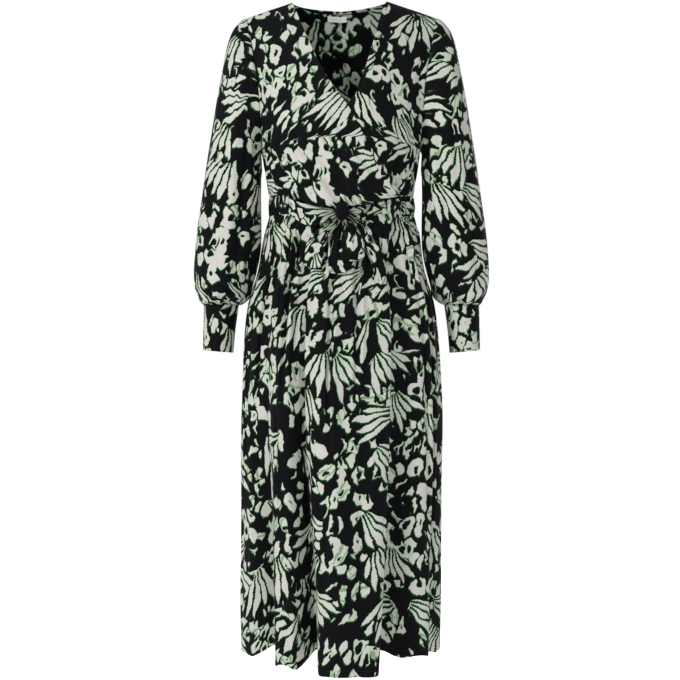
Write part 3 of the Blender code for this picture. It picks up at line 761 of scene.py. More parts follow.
# %% [markdown]
# Each front runs from its side seam to the wrap edge, which is a narrow turned hem. The soft
# pleats rise from the waist seam and lean towards the shoulder, because the wrap pulls the
# cloth across. Their table gives shares across from the side seam and down from the shoulder
# at both ends, then half width, depth and bow in millimetres. The top front is a little longer
# than the body, so its lower end pouches over the band and hides it behind the ties.
# %% The crossed fronts
WRAP_OVER = (
    # share of the height, position across
    (0.0, 104.5),
    (0.079, 92),
    (0.15, 68),
    (0.234, 44),
    (0.316, 28),
    (0.39, 12),
    (0.452, -5),
    (0.594, -35),
    (0.828, -70),
    (1.0, -91),
)
WRAP_UNDER = (
    (0.0, -104),
    (0.079, -86),
    (0.15, -62),
    (0.234, -37),
    (0.316, -14),
    (0.38, 4),
    (0.438, 20),
    (0.541, 36.5),
    (0.663, 49.5),
    (0.766, 60),
    (0.918, 74),
    (1.0, 84),
)
BLOUSE = (
    # position across, height of the fold that hangs over the band
    (-131, -341),
    (-104, -341.5),
    (-95, -344),
    (-78, -351.5),
    (-58, -361.5),
    (-36, -366),
    (-14, -367),
    (15.5, -366),
    (44, -361.5),
    (70, -355.5),
    (92, -348.5),
    (104.5, -344),
)
BLOUSE_FROM, BLOUSE_OUT, BLOUSE_OUT_RUN = 64.0, 5.2, 8
BLOUSE_PUFF, PUFF_RUN, PUFF_UP, PUFF_TALL = 4.0, 12, 16, 30
BLOUSE_EDGE = (1.3, 150, SEAM_FLAT)  # radius, turn, how far it runs on flat
WRAP_LIFT, LIFT_RUN, LIFT_FADE = 3.0, math.radians(13), 0.2
COVERED_BACK, COVERED_RUN = 6.0, 18.0
BODICE_COLUMNS, BODICE_ROWS = 100, 110
NECK_HEM = 7.0
FRONT_GATHERS = (24, 3.4, 34, 1.5)  # how many, height, reach, lean
WAIST_FADE, WAIST_HELD, SIDE_FADE, TOP_FADE, COVERED_FLAT = 5, 0.55, 14, 26, 0.8
CREASES_OVER = (
    # share across and down at the start, the same at the end, half width, depth, bow
    (0.06, 1.00, 0.04, 0.58, 4, 5.0, 3),
    (0.11, 1.00, 0.07, 0.68, 3, 4.2, 4),
    (0.16, 1.00, 0.11, 0.52, 4, 4.6, 5),
    (0.22, 1.00, 0.16, 0.74, 3, 3.6, 4),
    (0.29, 1.00, 0.21, 0.60, 5, 4.4, 7),
    (0.37, 1.00, 0.31, 0.78, 4, 3.2, 4),
    (0.46, 1.00, 0.36, 0.64, 5, 4.0, 7),
    (0.55, 1.00, 0.46, 0.76, 4, 3.0, 6),
    (0.64, 1.00, 0.50, 0.60, 5, 4.2, 9),
    (0.74, 1.00, 0.60, 0.74, 4, 3.4, 8),
    (0.85, 1.00, 0.72, 0.66, 4, 3.8, 9),
    (0.93, 0.99, 0.84, 0.60, 5, 3.4, 6),
    (0.03, 0.50, 0.30, 0.70, 10, 1.8, 10),
    (0.94, 0.10, 0.90, 0.42, 11, 1.4, 5),
    (0.12, 0.24, 0.10, 0.55, 9, 1.6, -6),
    (0.55, 0.08, 0.60, 0.30, 12, 1.0, 4),
)
CREASES_UNDER = (
    (0.04, 1.00, 0.03, 0.58, 4, 5.0, -3),
    (0.09, 1.00, 0.09, 0.70, 3, 4.4, -4),
    (0.14, 1.00, 0.15, 0.52, 4, 4.8, -5),
    (0.20, 1.00, 0.22, 0.66, 4, 4.0, -5),
    (0.27, 1.00, 0.30, 0.76, 3, 3.4, -5),
    (0.35, 1.00, 0.38, 0.60, 7, 2.6, -8),
    (0.03, 0.52, 0.26, 0.72, 10, 1.8, -9),
    (0.92, 0.12, 0.88, 0.36, 11, 1.3, -5),
    (0.13, 0.22, 0.10, 0.56, 9, 1.7, 6),
    (0.50, 0.06, 0.46, 0.32, 12, 1.0, -4),
)
FRONT_WAVES = ((2.3, 0.9, 20, 0.5), (4.1, -1.6, 140, 0.35), (1.2, 3.1, 250, 0.4))


def front_points(hand, wrap, lift, table, seed):
    share = even_shares(BODICE_ROWS + 1)[:, None]
    half = read(BODICE_FORM, share)[..., 0]
    seam = hand * edge_angle(share)
    edge = np.arcsin(read(wrap, share)[..., 0] / half)
    across = np.linspace(0, 1, BODICE_COLUMNS + 1)[None, :]
    angle = seam + (edge - seam) * across
    share = np.broadcast_to(share, angle.shape)
    across = np.broadcast_to(across, angle.shape)
    clear = lift * eased(np.abs(angle - seam) / LIFT_RUN) * eased((1 - share) / LIFT_FADE)
    covered = 0.0
    if hand == LEFT:
        over_edge = read(WRAP_OVER, share)[..., 0]
        covered = eased((over_edge - half * np.sin(angle)) / COVERED_RUN) * eased((1 - share) / LIFT_FADE)
        clear = clear - COVERED_BACK * covered
    points = bodice_points(angle, share, FRONT, clear)
    wide = half * np.abs(edge - seam)
    height = creases(table, across, 1 - share, wide, BODICE_TALL)
    height += gathers(across, share * BODICE_TALL, *FRONT_GATHERS, seed)
    height += waves(across, share, FRONT_WAVES)
    held = eased(share * BODICE_TALL / WAIST_FADE) * (1 - WAIST_HELD) + WAIST_HELD
    at_side = eased(across * wide / SIDE_FADE)
    at_top = eased((1 - share) * BODICE_TALL / TOP_FADE)
    height = height * held * at_side * at_top * (1 - COVERED_FLAT * covered)
    return points + normals_of(points, on_axis(points)) * height[..., None]


def bloused(points):
    """A front whose lower end puffs out and hangs a little way down over the band."""
    above = points[..., 2] - WAIST_TOP
    drop = WAIST_TOP - read(BLOUSE, points[..., 0])[..., 0]
    near = eased(1 - above / BLOUSE_FROM)
    out = BLOUSE_OUT * eased(drop / BLOUSE_OUT_RUN) * near
    out = out + BLOUSE_PUFF * eased(drop / PUFF_RUN) * bump(above - PUFF_UP, PUFF_TALL)
    return points - np.stack([0 * out, out, drop * near], axis=-1)


def make_front(name, hand, wrap, lift, table, seed, start):
    points = front_points(hand, wrap, lift, table, seed)
    waist_edge = WAIST_SEAM
    if hand == RIGHT:
        points, waist_edge = bloused(points), BLOUSE_EDGE
    cloth = measured(points, 0, start)
    cloth[..., 0] = start[0] - hand * (cloth[..., 0] - start[0])
    edges = (("top", SEAM), ("left", SEAM), ("bottom", waist_edge), ("right", hem(NECK_HEM)))
    sew_panel(name, points, cloth, on_axis(points), edges)
    seams["neck_stitches"].append(seam_line(points, on_axis(points), "right", NECK_HEM - STITCH_IN))


make_front("bodice_front_over_cloth", RIGHT, WRAP_OVER, WRAP_LIFT, CREASES_OVER, 3, (130, 310))
make_front("bodice_front_under_cloth", LEFT, WRAP_UNDER, 0.0, CREASES_UNDER, 8, (520, 265))

# %% [markdown]
# The back is one piece. Its top edge is the neck between the two shoulder seams, so the edge is
# a hem in the middle and a seam at both ends. It is slightly bloused above the waist.
# %% The back
NECK_POINT = {RIGHT: 91.0, LEFT: 84.0}
NECK_CURVE = {RIGHT: 4.0, LEFT: 1.4}
NECK_BACK = 16.5
BACK_COLUMNS, BACK_WIDE = 130, 330.0
BACK_GATHERS = (28, 2.4, 38, 1.0)  # how many, height, reach, lean
CREASES_BACK = (
    # share across and down at the start, the same at the end, half width, depth, bow
    (0.06, 1.00, 0.05, 0.58, 4, 4.6, 5),
    (0.12, 1.00, 0.13, 0.72, 3, 3.8, 4),
    (0.20, 1.00, 0.18, 0.60, 5, 4.4, 7),
    (0.28, 1.00, 0.30, 0.76, 3, 3.4, -4),
    (0.36, 1.00, 0.35, 0.58, 5, 4.0, 5),
    (0.44, 1.00, 0.45, 0.74, 4, 3.2, 3),
    (0.52, 1.00, 0.52, 0.62, 4, 3.8, 3),
    (0.60, 1.00, 0.59, 0.74, 4, 3.6, -6),
    (0.68, 1.00, 0.69, 0.60, 5, 4.0, 4),
    (0.77, 1.00, 0.79, 0.72, 4, 3.8, -6),
    (0.86, 1.00, 0.85, 0.62, 4, 4.2, -4),
    (0.94, 1.00, 0.95, 0.56, 4, 4.6, -5),
    (0.10, 0.26, 0.14, 0.58, 10, 1.8, 8),
    (0.90, 0.24, 0.87, 0.60, 10, 1.8, -8),
    (0.30, 0.30, 0.46, 0.62, 14, 1.2, 10),
    (0.70, 0.28, 0.56, 0.58, 14, 1.2, -10),
)


def back_points(across, drop, out=0.0):
    """Points of the back: across runs from -1 to 1 between the armholes, and drop from 1 at the
    shoulder and neck to 0 at the waist."""
    top_x = read(BODICE_FORM, 1.0)[0] * np.sin(across * edge_angle(np.array(1.0)))
    neck = np.where(top_x < 0, NECK_POINT[RIGHT], NECK_POINT[LEFT])
    inward = np.clip(np.abs(top_x) / neck, 0, 1)
    curve = np.where(top_x < 0, NECK_CURVE[RIGHT], NECK_CURVE[LEFT])
    edge_z = NECK_BACK + (shoulder_z(neck) - NECK_BACK) * inward**curve
    top = (edge_z - WAIST_TOP) / (shoulder_z(top_x) - WAIST_TOP)
    share = drop * np.where(np.abs(top_x) < neck, top, 1.0)
    return bodice_points(across * edge_angle(share), share, BACK, out)


def make_back(name, seed, start):
    columns = np.linspace(-1, 1, BACK_COLUMNS + 1)[None, :]
    across, drop = np.broadcast_arrays(columns, even_shares(BODICE_ROWS + 1)[:, None])
    base = back_points(across, drop)
    share = (across + 1) / 2
    height = creases(CREASES_BACK, share, 1 - drop, BACK_WIDE, BODICE_TALL)
    height += gathers(share, drop * BODICE_TALL, *BACK_GATHERS, seed)
    height += waves(share, drop, FRONT_WAVES)
    at_side = eased((1 - np.abs(across)) * (BACK_WIDE / 2) / SIDE_FADE)
    height *= at_side * eased((1 - drop) * BODICE_TALL / TOP_FADE)
    points = base + normals_of(base, on_axis(base)) * height[..., None]
    cloth = measured(points, BACK_COLUMNS // 2, start)
    is_neck = (base[0, :, 0] > -NECK_POINT[RIGHT]) & (base[0, :, 0] < NECK_POINT[LEFT])
    turn, flat = np.where(is_neck, HEM_TURN, SEAM_TURN), np.where(is_neck, NECK_HEM, SEAM_FLAT)
    edges = (("top", (HEM_RADIUS, turn, flat)), ("bottom", WAIST_SEAM), ("left", SEAM), ("right", SEAM))
    sew_panel(name, points, cloth, on_axis(points), edges)
    neck_line = seam_line(points, on_axis(points), "top", NECK_HEM - STITCH_IN)
    seams["neck_stitches"].append(neck_line[is_neck])


make_back("bodice_back_cloth", 21, (940, 330))

# %% [markdown]
# ## The bishop sleeves
# A bishop sleeve is a wide tube, fullest just above the cuff. A table gives its rings: the
# outer and the inner point as seen from the front, and half the depth. The first ring is the
# armhole itself, so the sleeve head fits, and the next rings turn from that curve into ovals.
# %% The sleeves' form
SLEEVE_RINGS = (
    # ring, outer point across and up, inner point across and up, half depth
    (0, *SHOULDER_TIP, 145, -255, 54),
    (1, 182, -12.5, 146.4, -256.4, 57),
    (2, 192, -22, 147.2, -258, 59),
    (3, 203, -38, 147.7, -260, 61),
    (4, 213, -66, 148.1, -263.5, 62),
    (5, 221, -108, 148.4, -269, 63),
    (6, 230.5, -160, 148.5, -279, 63),
    (7, 240, -220, 148.5, -296, 63),
    (8, 249, -275, 148.5, -320, 63),
    (9, 257, -335, 148.5, -353, 64),
    (10, 265, -395, 149, -398, 66),
    (11, 269.5, -440, 151, -440, 68),
    (12, 272.5, -480, 157.5, -478, 67),
    (13, 270.5, -508, 165, -506, 62),
    (14, 264, -526, 172, -527, 50),
    (15, 254.4, -538.3, 190, -538.3, 33),
)
LAST_RING, BLEND_RINGS = 15, 5
SLEEVE_COLUMNS, SLEEVE_ROWS = 120, 126
SLEEVE_FOLDS = (
    # turn from the top round the front, half width, height, share of the length at both ends
    (62, 30, -3.5, 0.3, 0.9),
    (118, 26, -4.5, 0.4, 0.97),
    (165, 24, 2.5, 0.5, 0.95),
    (232, 30, -4.5, 0.35, 0.95),
    (300, 30, -3.5, 0.3, 0.9),
)
SLEEVE_CREASES = (
    # share round from the top over the front, share down, the same at the end, half width, depth, bow
    (0.10, 0.30, 0.16, 0.86, 8, 2.6, 6),
    (0.20, 0.10, 0.25, 0.70, 9, 2.4, -8),
    (0.33, 0.24, 0.30, 0.92, 8, 2.8, 7),
    (0.42, 0.06, 0.40, 0.62, 9, 2.6, -5),
    (0.60, 0.12, 0.63, 0.80, 9, 2.6, 7),
    (0.72, 0.20, 0.70, 0.92, 8, 2.8, -7),
    (0.84, 0.10, 0.82, 0.76, 9, 2.4, 6),
    (0.93, 0.34, 0.90, 0.90, 8, 2.2, -5),
    (0.08, 0.62, 0.24, 0.78, 7, 2.0, 8),
    (0.30, 0.70, 0.44, 0.84, 7, 2.2, 9),
    (0.20, 0.83, 0.34, 0.93, 6, 2.2, 6),
    (0.66, 0.68, 0.52, 0.82, 7, 2.2, -8),
    (0.86, 0.74, 0.72, 0.88, 7, 2.2, -8),
    (0.38, 0.42, 0.52, 0.50, 8, 1.8, 7),
)
SLEEVE_WAVES = ((3, 1.4, 30, 0.5), (5, -2.2, 160, 0.35), (2, 3.4, 280, 0.45))
CUFF_GATHERS, CUFF_GATHER, CUFF_GATHER_REACH, CUFF_LEAN = 20, 7.0, 42, 2.0
CUFF_SUNK, CUFF_HELD, CUFF_FADE = 0.5, 0.1, 26
DRAWN_IN, TUCKED = 0.91, (0.4, 2.4, 4.4)
SLEEVE_ROUND, SLEEVE_TALL, FINE_TURNS, NEARLY = 400.0, 540.0, 2400, 1e-6
HEAD_GATHERS = (16, 1.3, 34, 1.0)  # how many, height, reach, lean
HEAD_RUN, HEAD_FADE = 8, 9
UNDERARM_DEEP, UNDERARM_WIDE = 1.2, 1.5


def armhole_turns(count):
    """Turns round the armhole from its top over the front, evenly spaced along the seam."""
    fine = np.linspace(0, math.tau, FINE_TURNS)
    along = run_along(armhole_points(fine))
    return np.interp(np.linspace(0, along[-1], count), along, fine)


def armhole_points(turn):
    share = ARMPIT_SHARE + (1 - ARMPIT_SHARE) * (1 + np.cos(turn)) / 2
    front = bodice_points(edge_angle(share), share, FRONT)
    back = bodice_points(edge_angle(share), share, BACK)
    points = np.where((np.sin(turn) >= 0)[:, None], front, back)
    points[np.abs(np.sin(turn)) < NEARLY, 1] = 0
    return points


def sleeve_points(seed):
    """The wearer's left sleeve: rows run down it and columns from its top over the front."""
    ring = np.linspace(0, LAST_RING, SLEEVE_ROWS + 1)
    evenly = np.linspace(0, math.tau, SLEEVE_COLUMNS + 1)
    sewn = armhole_turns(SLEEVE_COLUMNS + 1)
    form = read(SLEEVE_RINGS, ring)
    head = None
    rows, insides = [], []
    for number, row in enumerate(form):
        blend = eased(ring[number] / BLEND_RINGS)
        turn = sewn + (evenly - sewn) * blend
        outer, inner = row[0:2], row[2:4]
        middle = np.array([(outer[0] + inner[0]) / 2, 0, (outer[1] + inner[1]) / 2])
        x = middle[0] + (outer[0] - inner[0]) / 2 * np.cos(turn)
        z = middle[2] + (outer[1] - inner[1]) / 2 * np.cos(turn)
        points = np.stack([x, -row[4] * np.sin(turn), z], axis=-1)
        if head is None:
            head = armhole_points(sewn) - points
        rows.append(points + head * (1 - blend))
        insides.append(np.broadcast_to(middle, points.shape))
    points, inside = np.array(rows), np.array(insides)
    around = np.broadcast_to(evenly / math.tau, points.shape[:2])
    down = np.broadcast_to((ring / LAST_RING)[:, None], around.shape)
    height = np.zeros(around.shape)
    for at, wide, high, start, end in SLEEVE_FOLDS:
        here = bump(down - (start + end) / 2, (end - start) / 2)
        height += high * here * bump(around * 360 - at, wide)
    height += creases(SLEEVE_CREASES, around, down, SLEEVE_ROUND, SLEEVE_TALL)
    height += waves(around, down, SLEEVE_WAVES)
    from_head, from_cuff = down * SLEEVE_TALL, (1 - down) * SLEEVE_TALL
    drawn = gathers(around, from_cuff, CUFF_GATHERS, CUFF_GATHER, CUFF_GATHER_REACH, CUFF_LEAN, seed)
    drawn -= CUFF_SUNK * CUFF_GATHER * np.exp(-((from_cuff / CUFF_GATHER_REACH) ** 2))
    height += drawn * (CUFF_HELD + (1 - CUFF_HELD) * eased(from_cuff / CUFF_FADE))
    height += gathers(around, from_head, *HEAD_GATHERS, seed + 1) * eased(from_head / HEAD_RUN)
    height *= eased(from_head / HEAD_FADE)
    seam = np.minimum(np.abs(around - 0.5), 0.5) * SLEEVE_ROUND
    height -= UNDERARM_DEEP * np.exp(-((seam / UNDERARM_WIDE) ** 2)) * eased(from_head / HEAD_FADE)
    height[:, -1] = height[:, 0]
    return points + normals_of(points, inside, True) * height[..., None], inside


# %% Sew the sleeves
def from_underarm(grid):
    """A closed grid that started at its outer line, opened at the underarm seam instead."""
    ring = np.roll(grid[:, :-1], grid.shape[1] // 2, axis=1)
    return np.concatenate([ring, ring[:, :1]], axis=1)


def into_cuff(points, cloth, inside):
    """The gathered end of a sleeve, carried in under the top edge of its cuff."""
    drawn = inside[-1] + (points[-1] - inside[-1]) * DRAWN_IN
    step = np.linalg.norm(drawn - points[-1], axis=1)
    for down in TUCKED:
        points = np.concatenate([points, [drawn - np.array([0, 0, down])]])
        below = np.stack([0 * step, -(step + down)], axis=-1)
        cloth = np.concatenate([cloth, [cloth[SLEEVE_ROWS] + below]])
        inside = np.concatenate([inside, inside[-1:]])
    return points, cloth, inside


def make_sleeve(name, hand, seed, start):
    mirror = np.array([hand, 1, 1])
    points, inside = (from_underarm(grid) * mirror for grid in sleeve_points(seed))
    cloth = measured(points, SLEEVE_COLUMNS // 2, start, from_cuff=True)
    sew_panel(name, *into_cuff(points, cloth, inside), (("top", SEAM),), True)


make_sleeve("sleeve_right_cloth", RIGHT, 5, (240, -180))
make_sleeve("sleeve_left_cloth", LEFT, 11, (690, -235))

# %% [markdown]
# The cuff is a deep plain band of doubled cloth. Both layers end at its lower edge, which is a
# soft fold, so the outer layer is simply carried round the edge and up inside.
# %% The cuffs
CUFF_RINGS = (
    # share down, outer point across and up, inner point across and up, half depth
    (0, 254.4, -538.7, 190.0, -538.7, 33),
    (0.5, 255.4, -582, 196, -584, 32),
    (1, 256, -622, 200, -627, 31),
)
CUFF_COLUMNS, CUFF_ROWS, CUFF_INSIDE, CUFF_SEAM, CUFF_TOP = 96, 26, 70, 2.0, 0.6
CUFF_ROUND, CUFF_TALL = 190.0, 86.0
CUFF_CREASES = (
    # share round and down at the start, the same at the end, half width, depth, bow
    (0.14, 0.10, 0.24, 0.72, 6, 0.9, 4),
    (0.30, 0.34, 0.20, 0.95, 6, 0.8, -3),
    (0.62, 0.12, 0.72, 0.70, 7, 0.9, 5),
    (0.84, 0.28, 0.78, 0.92, 6, 0.8, -4),
)


def make_cuff(name, hand, start):
    turn = np.linspace(0, math.tau, CUFF_COLUMNS + 1)
    down = np.linspace(0, 1, CUFF_ROWS + 1)
    form = read(CUFF_RINGS, down)[:, None, :]
    middle = (form[..., 0:2] + form[..., 2:4]) / 2
    reach = (form[..., 0:2] - form[..., 2:4]) / 2
    x = middle[..., 0] + reach[..., 0] * np.cos(turn)
    z = middle[..., 1] + reach[..., 1] * np.cos(turn)
    y = -form[..., 4] * np.sin(turn)
    points = np.stack([x, y, z], axis=-1) * np.array([hand, 1, 1])
    inside = np.stack([middle[..., 0] + 0 * x, 0 * x, middle[..., 1] + 0 * x], axis=-1)
    inside = inside * np.array([hand, 1, 1])
    share = np.broadcast_to(turn / math.tau, x.shape)
    fall = np.broadcast_to(down[:, None], x.shape)
    height = creases(CUFF_CREASES, share, fall, CUFF_ROUND, CUFF_TALL)
    height = height * bump(down[:, None] - 0.5, 0.5) ** 0.5
    points = points + normals_of(points, inside, True) * height[..., None]
    points, inside = from_underarm(points), from_underarm(inside)
    cloth = measured(points, CUFF_COLUMNS // 2, start)
    edges = (("top", (SEAM_RADIUS, SEAM_TURN, CUFF_TOP)), ("bottom", hem(CUFF_INSIDE)))
    sew_panel(name, points, cloth, inside, edges, True)
    seams["cuff_stitches"].append(seam_line(points, inside, "top", CUFF_SEAM, True))


make_cuff("cuff_right_cloth", RIGHT, (310, 95))
make_cuff("cuff_left_cloth", LEFT, (75, 160))

# %% [markdown]
# ## The shirred waistband
# Cloth about half as long again as the waist is drawn up on elastic, so it stands in short
# upright gathers, each a little different. They could be bump in the material, but they show
# at the edges of the waist and catch the light, so they are real folds here.
# %% The waistband
BAND_COLUMNS, BAND_ROWS, BAND_GATHERS, BAND_GATHER, BAND_DRAWN_UP, BAND_SEAM = 660, 16, 66, 6.0, 1.5, 2.6
BAND_PLACE_LUCK, BAND_SWAY_LUCK = (-0.22, 0.22), (-0.3, 0.3)
BAND_WIDE_LUCK, BAND_HIGH_LUCK = (0.48, 0.62), (0.6, 1.15)
BAND_CREST, BAND_SUNK, BAND_HELD, BAND_SWELL = 0.6, 2.6, 0.6, 0.7
SKIRT_FORM = (
    # height, half width, depth of the front, depth of the back
    (WAIST_LOW - SEAM_GAP, 132, 93, 86),
    (-428, 144, 104, 104),
    (-478, 152.5, 113, 120),
    (-535, 169, 123, 133),
    (-610, 178.5, 133, 142),
    (-715, 182.5, 144, 148),
    (-900, 181.5, 156, 156),
    (-1177, 178, 166, 165),
)


def band_gathers(share, down, seed):
    """The height of the band's gathers, which sway a little between its two edges."""
    chance = np.random.default_rng(seed)
    height = np.zeros(share.shape)
    for number in range(BAND_GATHERS):
        at = (number + 0.5 + chance.uniform(*BAND_PLACE_LUCK)) / BAND_GATHERS
        sway = chance.uniform(*BAND_SWAY_LUCK) / BAND_GATHERS * np.sin(math.pi * down)
        wide = chance.uniform(*BAND_WIDE_LUCK) / BAND_GATHERS
        high = BAND_GATHER * chance.uniform(*BAND_HIGH_LUCK)
        height += high * bump(share - at - sway, wide) ** BAND_CREST
    height -= BAND_SUNK
    height *= BAND_HELD + (1 - BAND_HELD) * np.sin(math.pi * down) ** BAND_SWELL
    height[:, -1] = height[:, 0]
    return height


def make_band(name, seed, start):
    turn = np.linspace(0, math.tau, BAND_COLUMNS + 1)
    down = np.linspace(0, 1, BAND_ROWS + 1)[:, None]
    half, front_deep, back_deep = SKIRT_FORM[0][1:]
    deep = np.where(np.cos(turn) > 0, front_deep, back_deep)
    z = (WAIST_TOP - SEAM_GAP) + (WAIST_LOW - WAIST_TOP + SEAM_GAP) * down
    points = np.stack(np.broadcast_arrays(half * np.sin(turn), -deep * np.cos(turn), z), axis=-1)
    height = band_gathers(np.broadcast_to(turn / math.tau, points.shape[:2]), down, seed)
    points = points + normals_of(points, on_axis(points), True) * height[..., None]
    cloth = measured(points, 0, start, BAND_DRAWN_UP)
    cloth[..., 0] = cloth[BAND_ROWS // 2, :, 0]
    for edge in ("top", "bottom"):
        seams["waist_stitches"].append(seam_line(points, on_axis(points), edge, BAND_SEAM, True))
    edges = (("top", WAIST_SEAM), ("bottom", WAIST_SEAM))
    sew_panel(name, points, cloth, on_axis(points), edges, True)


make_band("waistband_cloth", 17, (0, 705))

# %% [markdown]
# ## The wrap skirt
# Three gathered panels hang from the band. The folds are again rows of a table, with their
# angle round the body at the hem and at the waist, because a fold drifts sideways as it falls.
# A valley in the hem is also drawn up a little, which is what scallops the hem from the front.
# %% The skirt's form
HIP_SHARE, HEM_DIP = 0.2, 13.0
FOLDS_OVER = (
    # angle at the hem and at the waist, half width, height at hem and hip, how far the hem lifts
    (-77, -80, 11, 8, 3, 2),
    (-53, -53, 14, -44, -7, 30),
    (-33, -38, 11, 9, 4, 12),
    (-19.5, -28, 8, -50, -9, 32),
    (0, -8, 18, 14, 2, 2),
    (17, 26, 11, 8, 3, -2),
)
FOLDS_UNDER = (
    (5, 0, 60, -52, -9, 24),
    (-18, -24, 26, -34, -7, 0),
    (52, 55, 14, 10, 4, 11),
    (33, 41, 13, -12, -4, 12),
    (66, 68, 10, -7, -4, 8),
    (79, 80, 8, 5, 3, 5),
)
FOLDS_BACK = (
    (102, 100, 10, 8, 3, 0),
    (117, 114, 9, -24, -5, 8),
    (133, 130, 11, 16, 5, -2),
    (148, 147, 9, -30, -6, 9),
    (164, 165, 12, 14, 4, -3),
    (181, 182, 9, -26, -6, 8),
    (197, 198, 12, 18, 5, -3),
    (214, 213, 9, -28, -6, 9),
    (229, 230, 11, 15, 4, -2),
    (245, 247, 9, -22, -5, 7),
    (259, 260, 9, 7, 3, 0),
)
OVER_EDGE = ((0, 42), (0.1, 33), (0.3, 29), (0.6, 26), (0.9, 22), (1, 20.5))
UNDER_EDGE = ((0, -24), (1, -22))
UNDER_BACK, BACK_FROM, BACK_RUN = 3.2, math.radians(44), math.radians(12)
SKIRT_TALL = 800.0


def fold_height(folds, angle, fall):
    """How far the folds of a skirt panel stand out, at an angle and a share of the fall."""
    degrees = np.degrees(angle)
    height = np.zeros(np.broadcast(angle, fall).shape)
    for hem_at, waist_at, wide, hem_high, hip_high, _ in folds:
        at = waist_at + (hem_at - waist_at) * fall
        grown = (hem_high - hip_high) * eased((fall - HIP_SHARE) / (1 - HIP_SHARE))
        height = height + (hip_high * eased(fall / HIP_SHARE) + grown) * bump(degrees - at, wide)
    return height


def hem_z(folds, angle):
    """The hem dips at the front and is drawn up in the valleys."""
    height = HEM - HEM_DIP * np.clip(np.cos(angle), 0, 1) ** 2
    for hem_at, _, wide, _, _, lift in folds:
        height = height + lift * bump(np.degrees(angle) - hem_at, wide)
    return height


def skirt_points(angle, fall, folds, set_back=0.0, height=None):
    """Points of the skirt. Angle 0 is the middle of the front."""
    top = SKIRT_FORM[0][0]
    z = top + fall * (hem_z(folds, angle) - top) if height is None else height
    form = read(SKIRT_FORM, z)
    half, depth = form[..., 0], np.where(np.cos(angle) > 0, form[..., 1], form[..., 2])
    out = fold_height(folds, angle, fall) - set_back
    away = np.stack([np.sin(angle) / half, -np.cos(angle) / depth], axis=-1)
    away = unit(away)
    x = half * np.sin(angle) + out * away[..., 0]
    y = -depth * np.cos(angle) + out * away[..., 1] + np.sign(-np.cos(angle)) * SEAM_GAP / 2
    return np.stack([x, y, np.broadcast_to(z, x.shape)], axis=-1)


# %% [markdown]
# The small gathers under the band are added to that form, and fade unevenly within a hand's
# width. The ties press on them, so they stay low there. Long shallow creases run on to the hem.
# %% Sew the skirt
SKIRT_ROWS, OVER_COLUMNS, UNDER_COLUMNS, SKIRT_BACK_COLUMNS = 130, 200, 150, 250
SKIRT_HEM, WRAP_HEM = 12.0, 8.0
CREASES_SKIRT_OVER = (
    # share across and down at the start, the same at the end, half width, depth, bow
    (0.545, 0.03, 0.585, 0.72, 5, 12.0, 0),
    (0.325, 0.42, 0.335, 1.00, 4.5, 11.0, 2),
    (0.440, 0.46, 0.450, 1.00, 4.5, 9.5, -2),
    (0.400, 0.00, 0.410, 0.30, 4.5, 10.0, 2),
    (0.470, 0.00, 0.475, 0.42, 4.5, 9.0, -2),
    (0.700, 0.06, 0.710, 0.50, 4.5, 9.0, -2),
    (0.250, 0.00, 0.262, 0.40, 4.5, 8.5, 3),
    (0.110, 0.00, 0.135, 0.66, 4.5, 8.5, 4),
    (0.820, 0.00, 0.830, 0.42, 4.5, 8.0, 2),
    (0.06, 0.02, 0.08, 0.42, 6, 2.0, 4),
    (0.15, 0.00, 0.13, 0.30, 5, 2.2, -3),
    (0.23, 0.02, 0.25, 0.62, 7, 2.4, 6),
    (0.33, 0.00, 0.30, 0.26, 5, 2.2, 3),
    (0.40, 0.02, 0.44, 0.50, 6, 2.6, -5),
    (0.50, 0.00, 0.52, 0.34, 6, 2.2, 4),
    (0.58, 0.02, 0.60, 0.72, 7, 2.4, 6),
    (0.66, 0.00, 0.64, 0.24, 5, 2.0, -3),
    (0.74, 0.02, 0.78, 0.56, 7, 2.4, 5),
    (0.84, 0.00, 0.82, 0.32, 5, 2.0, -4),
    (0.10, 0.44, 0.12, 0.98, 9, 2.4, 8),
    (0.36, 0.40, 0.34, 0.96, 8, 2.2, -7),
    (0.70, 0.46, 0.68, 0.98, 9, 2.4, 8),
    (0.88, 0.36, 0.90, 0.96, 9, 2.2, -6),
)
CREASES_SKIRT_UNDER = (
    (0.92, 0.02, 0.93, 0.62, 4, 6.5, -2),
    (0.81, 0, 0.8, 0.92, 4, 7.5, 2),
    (0.7, 0.02, 0.71, 0.76, 4, 7, -2),
    (0.6, 0.02, 0.58, 0.6, 4, 5, -2),
    (0.95, 0.02, 0.94, 0.4, 6, 2.2, -4),
    (0.87, 0, 0.88, 0.56, 6, 2.4, 4),
    (0.78, 0.02, 0.76, 0.3, 5, 2.2, -3),
    (0.69, 0, 0.7, 0.66, 7, 2.6, -6),
    (0.6, 0.02, 0.58, 0.36, 5, 2.2, 3),
    (0.84, 0.5, 0.83, 0.98, 8, 2.6, -7),
    (0.67, 0.56, 0.65, 0.98, 8, 2.2, 6),
)
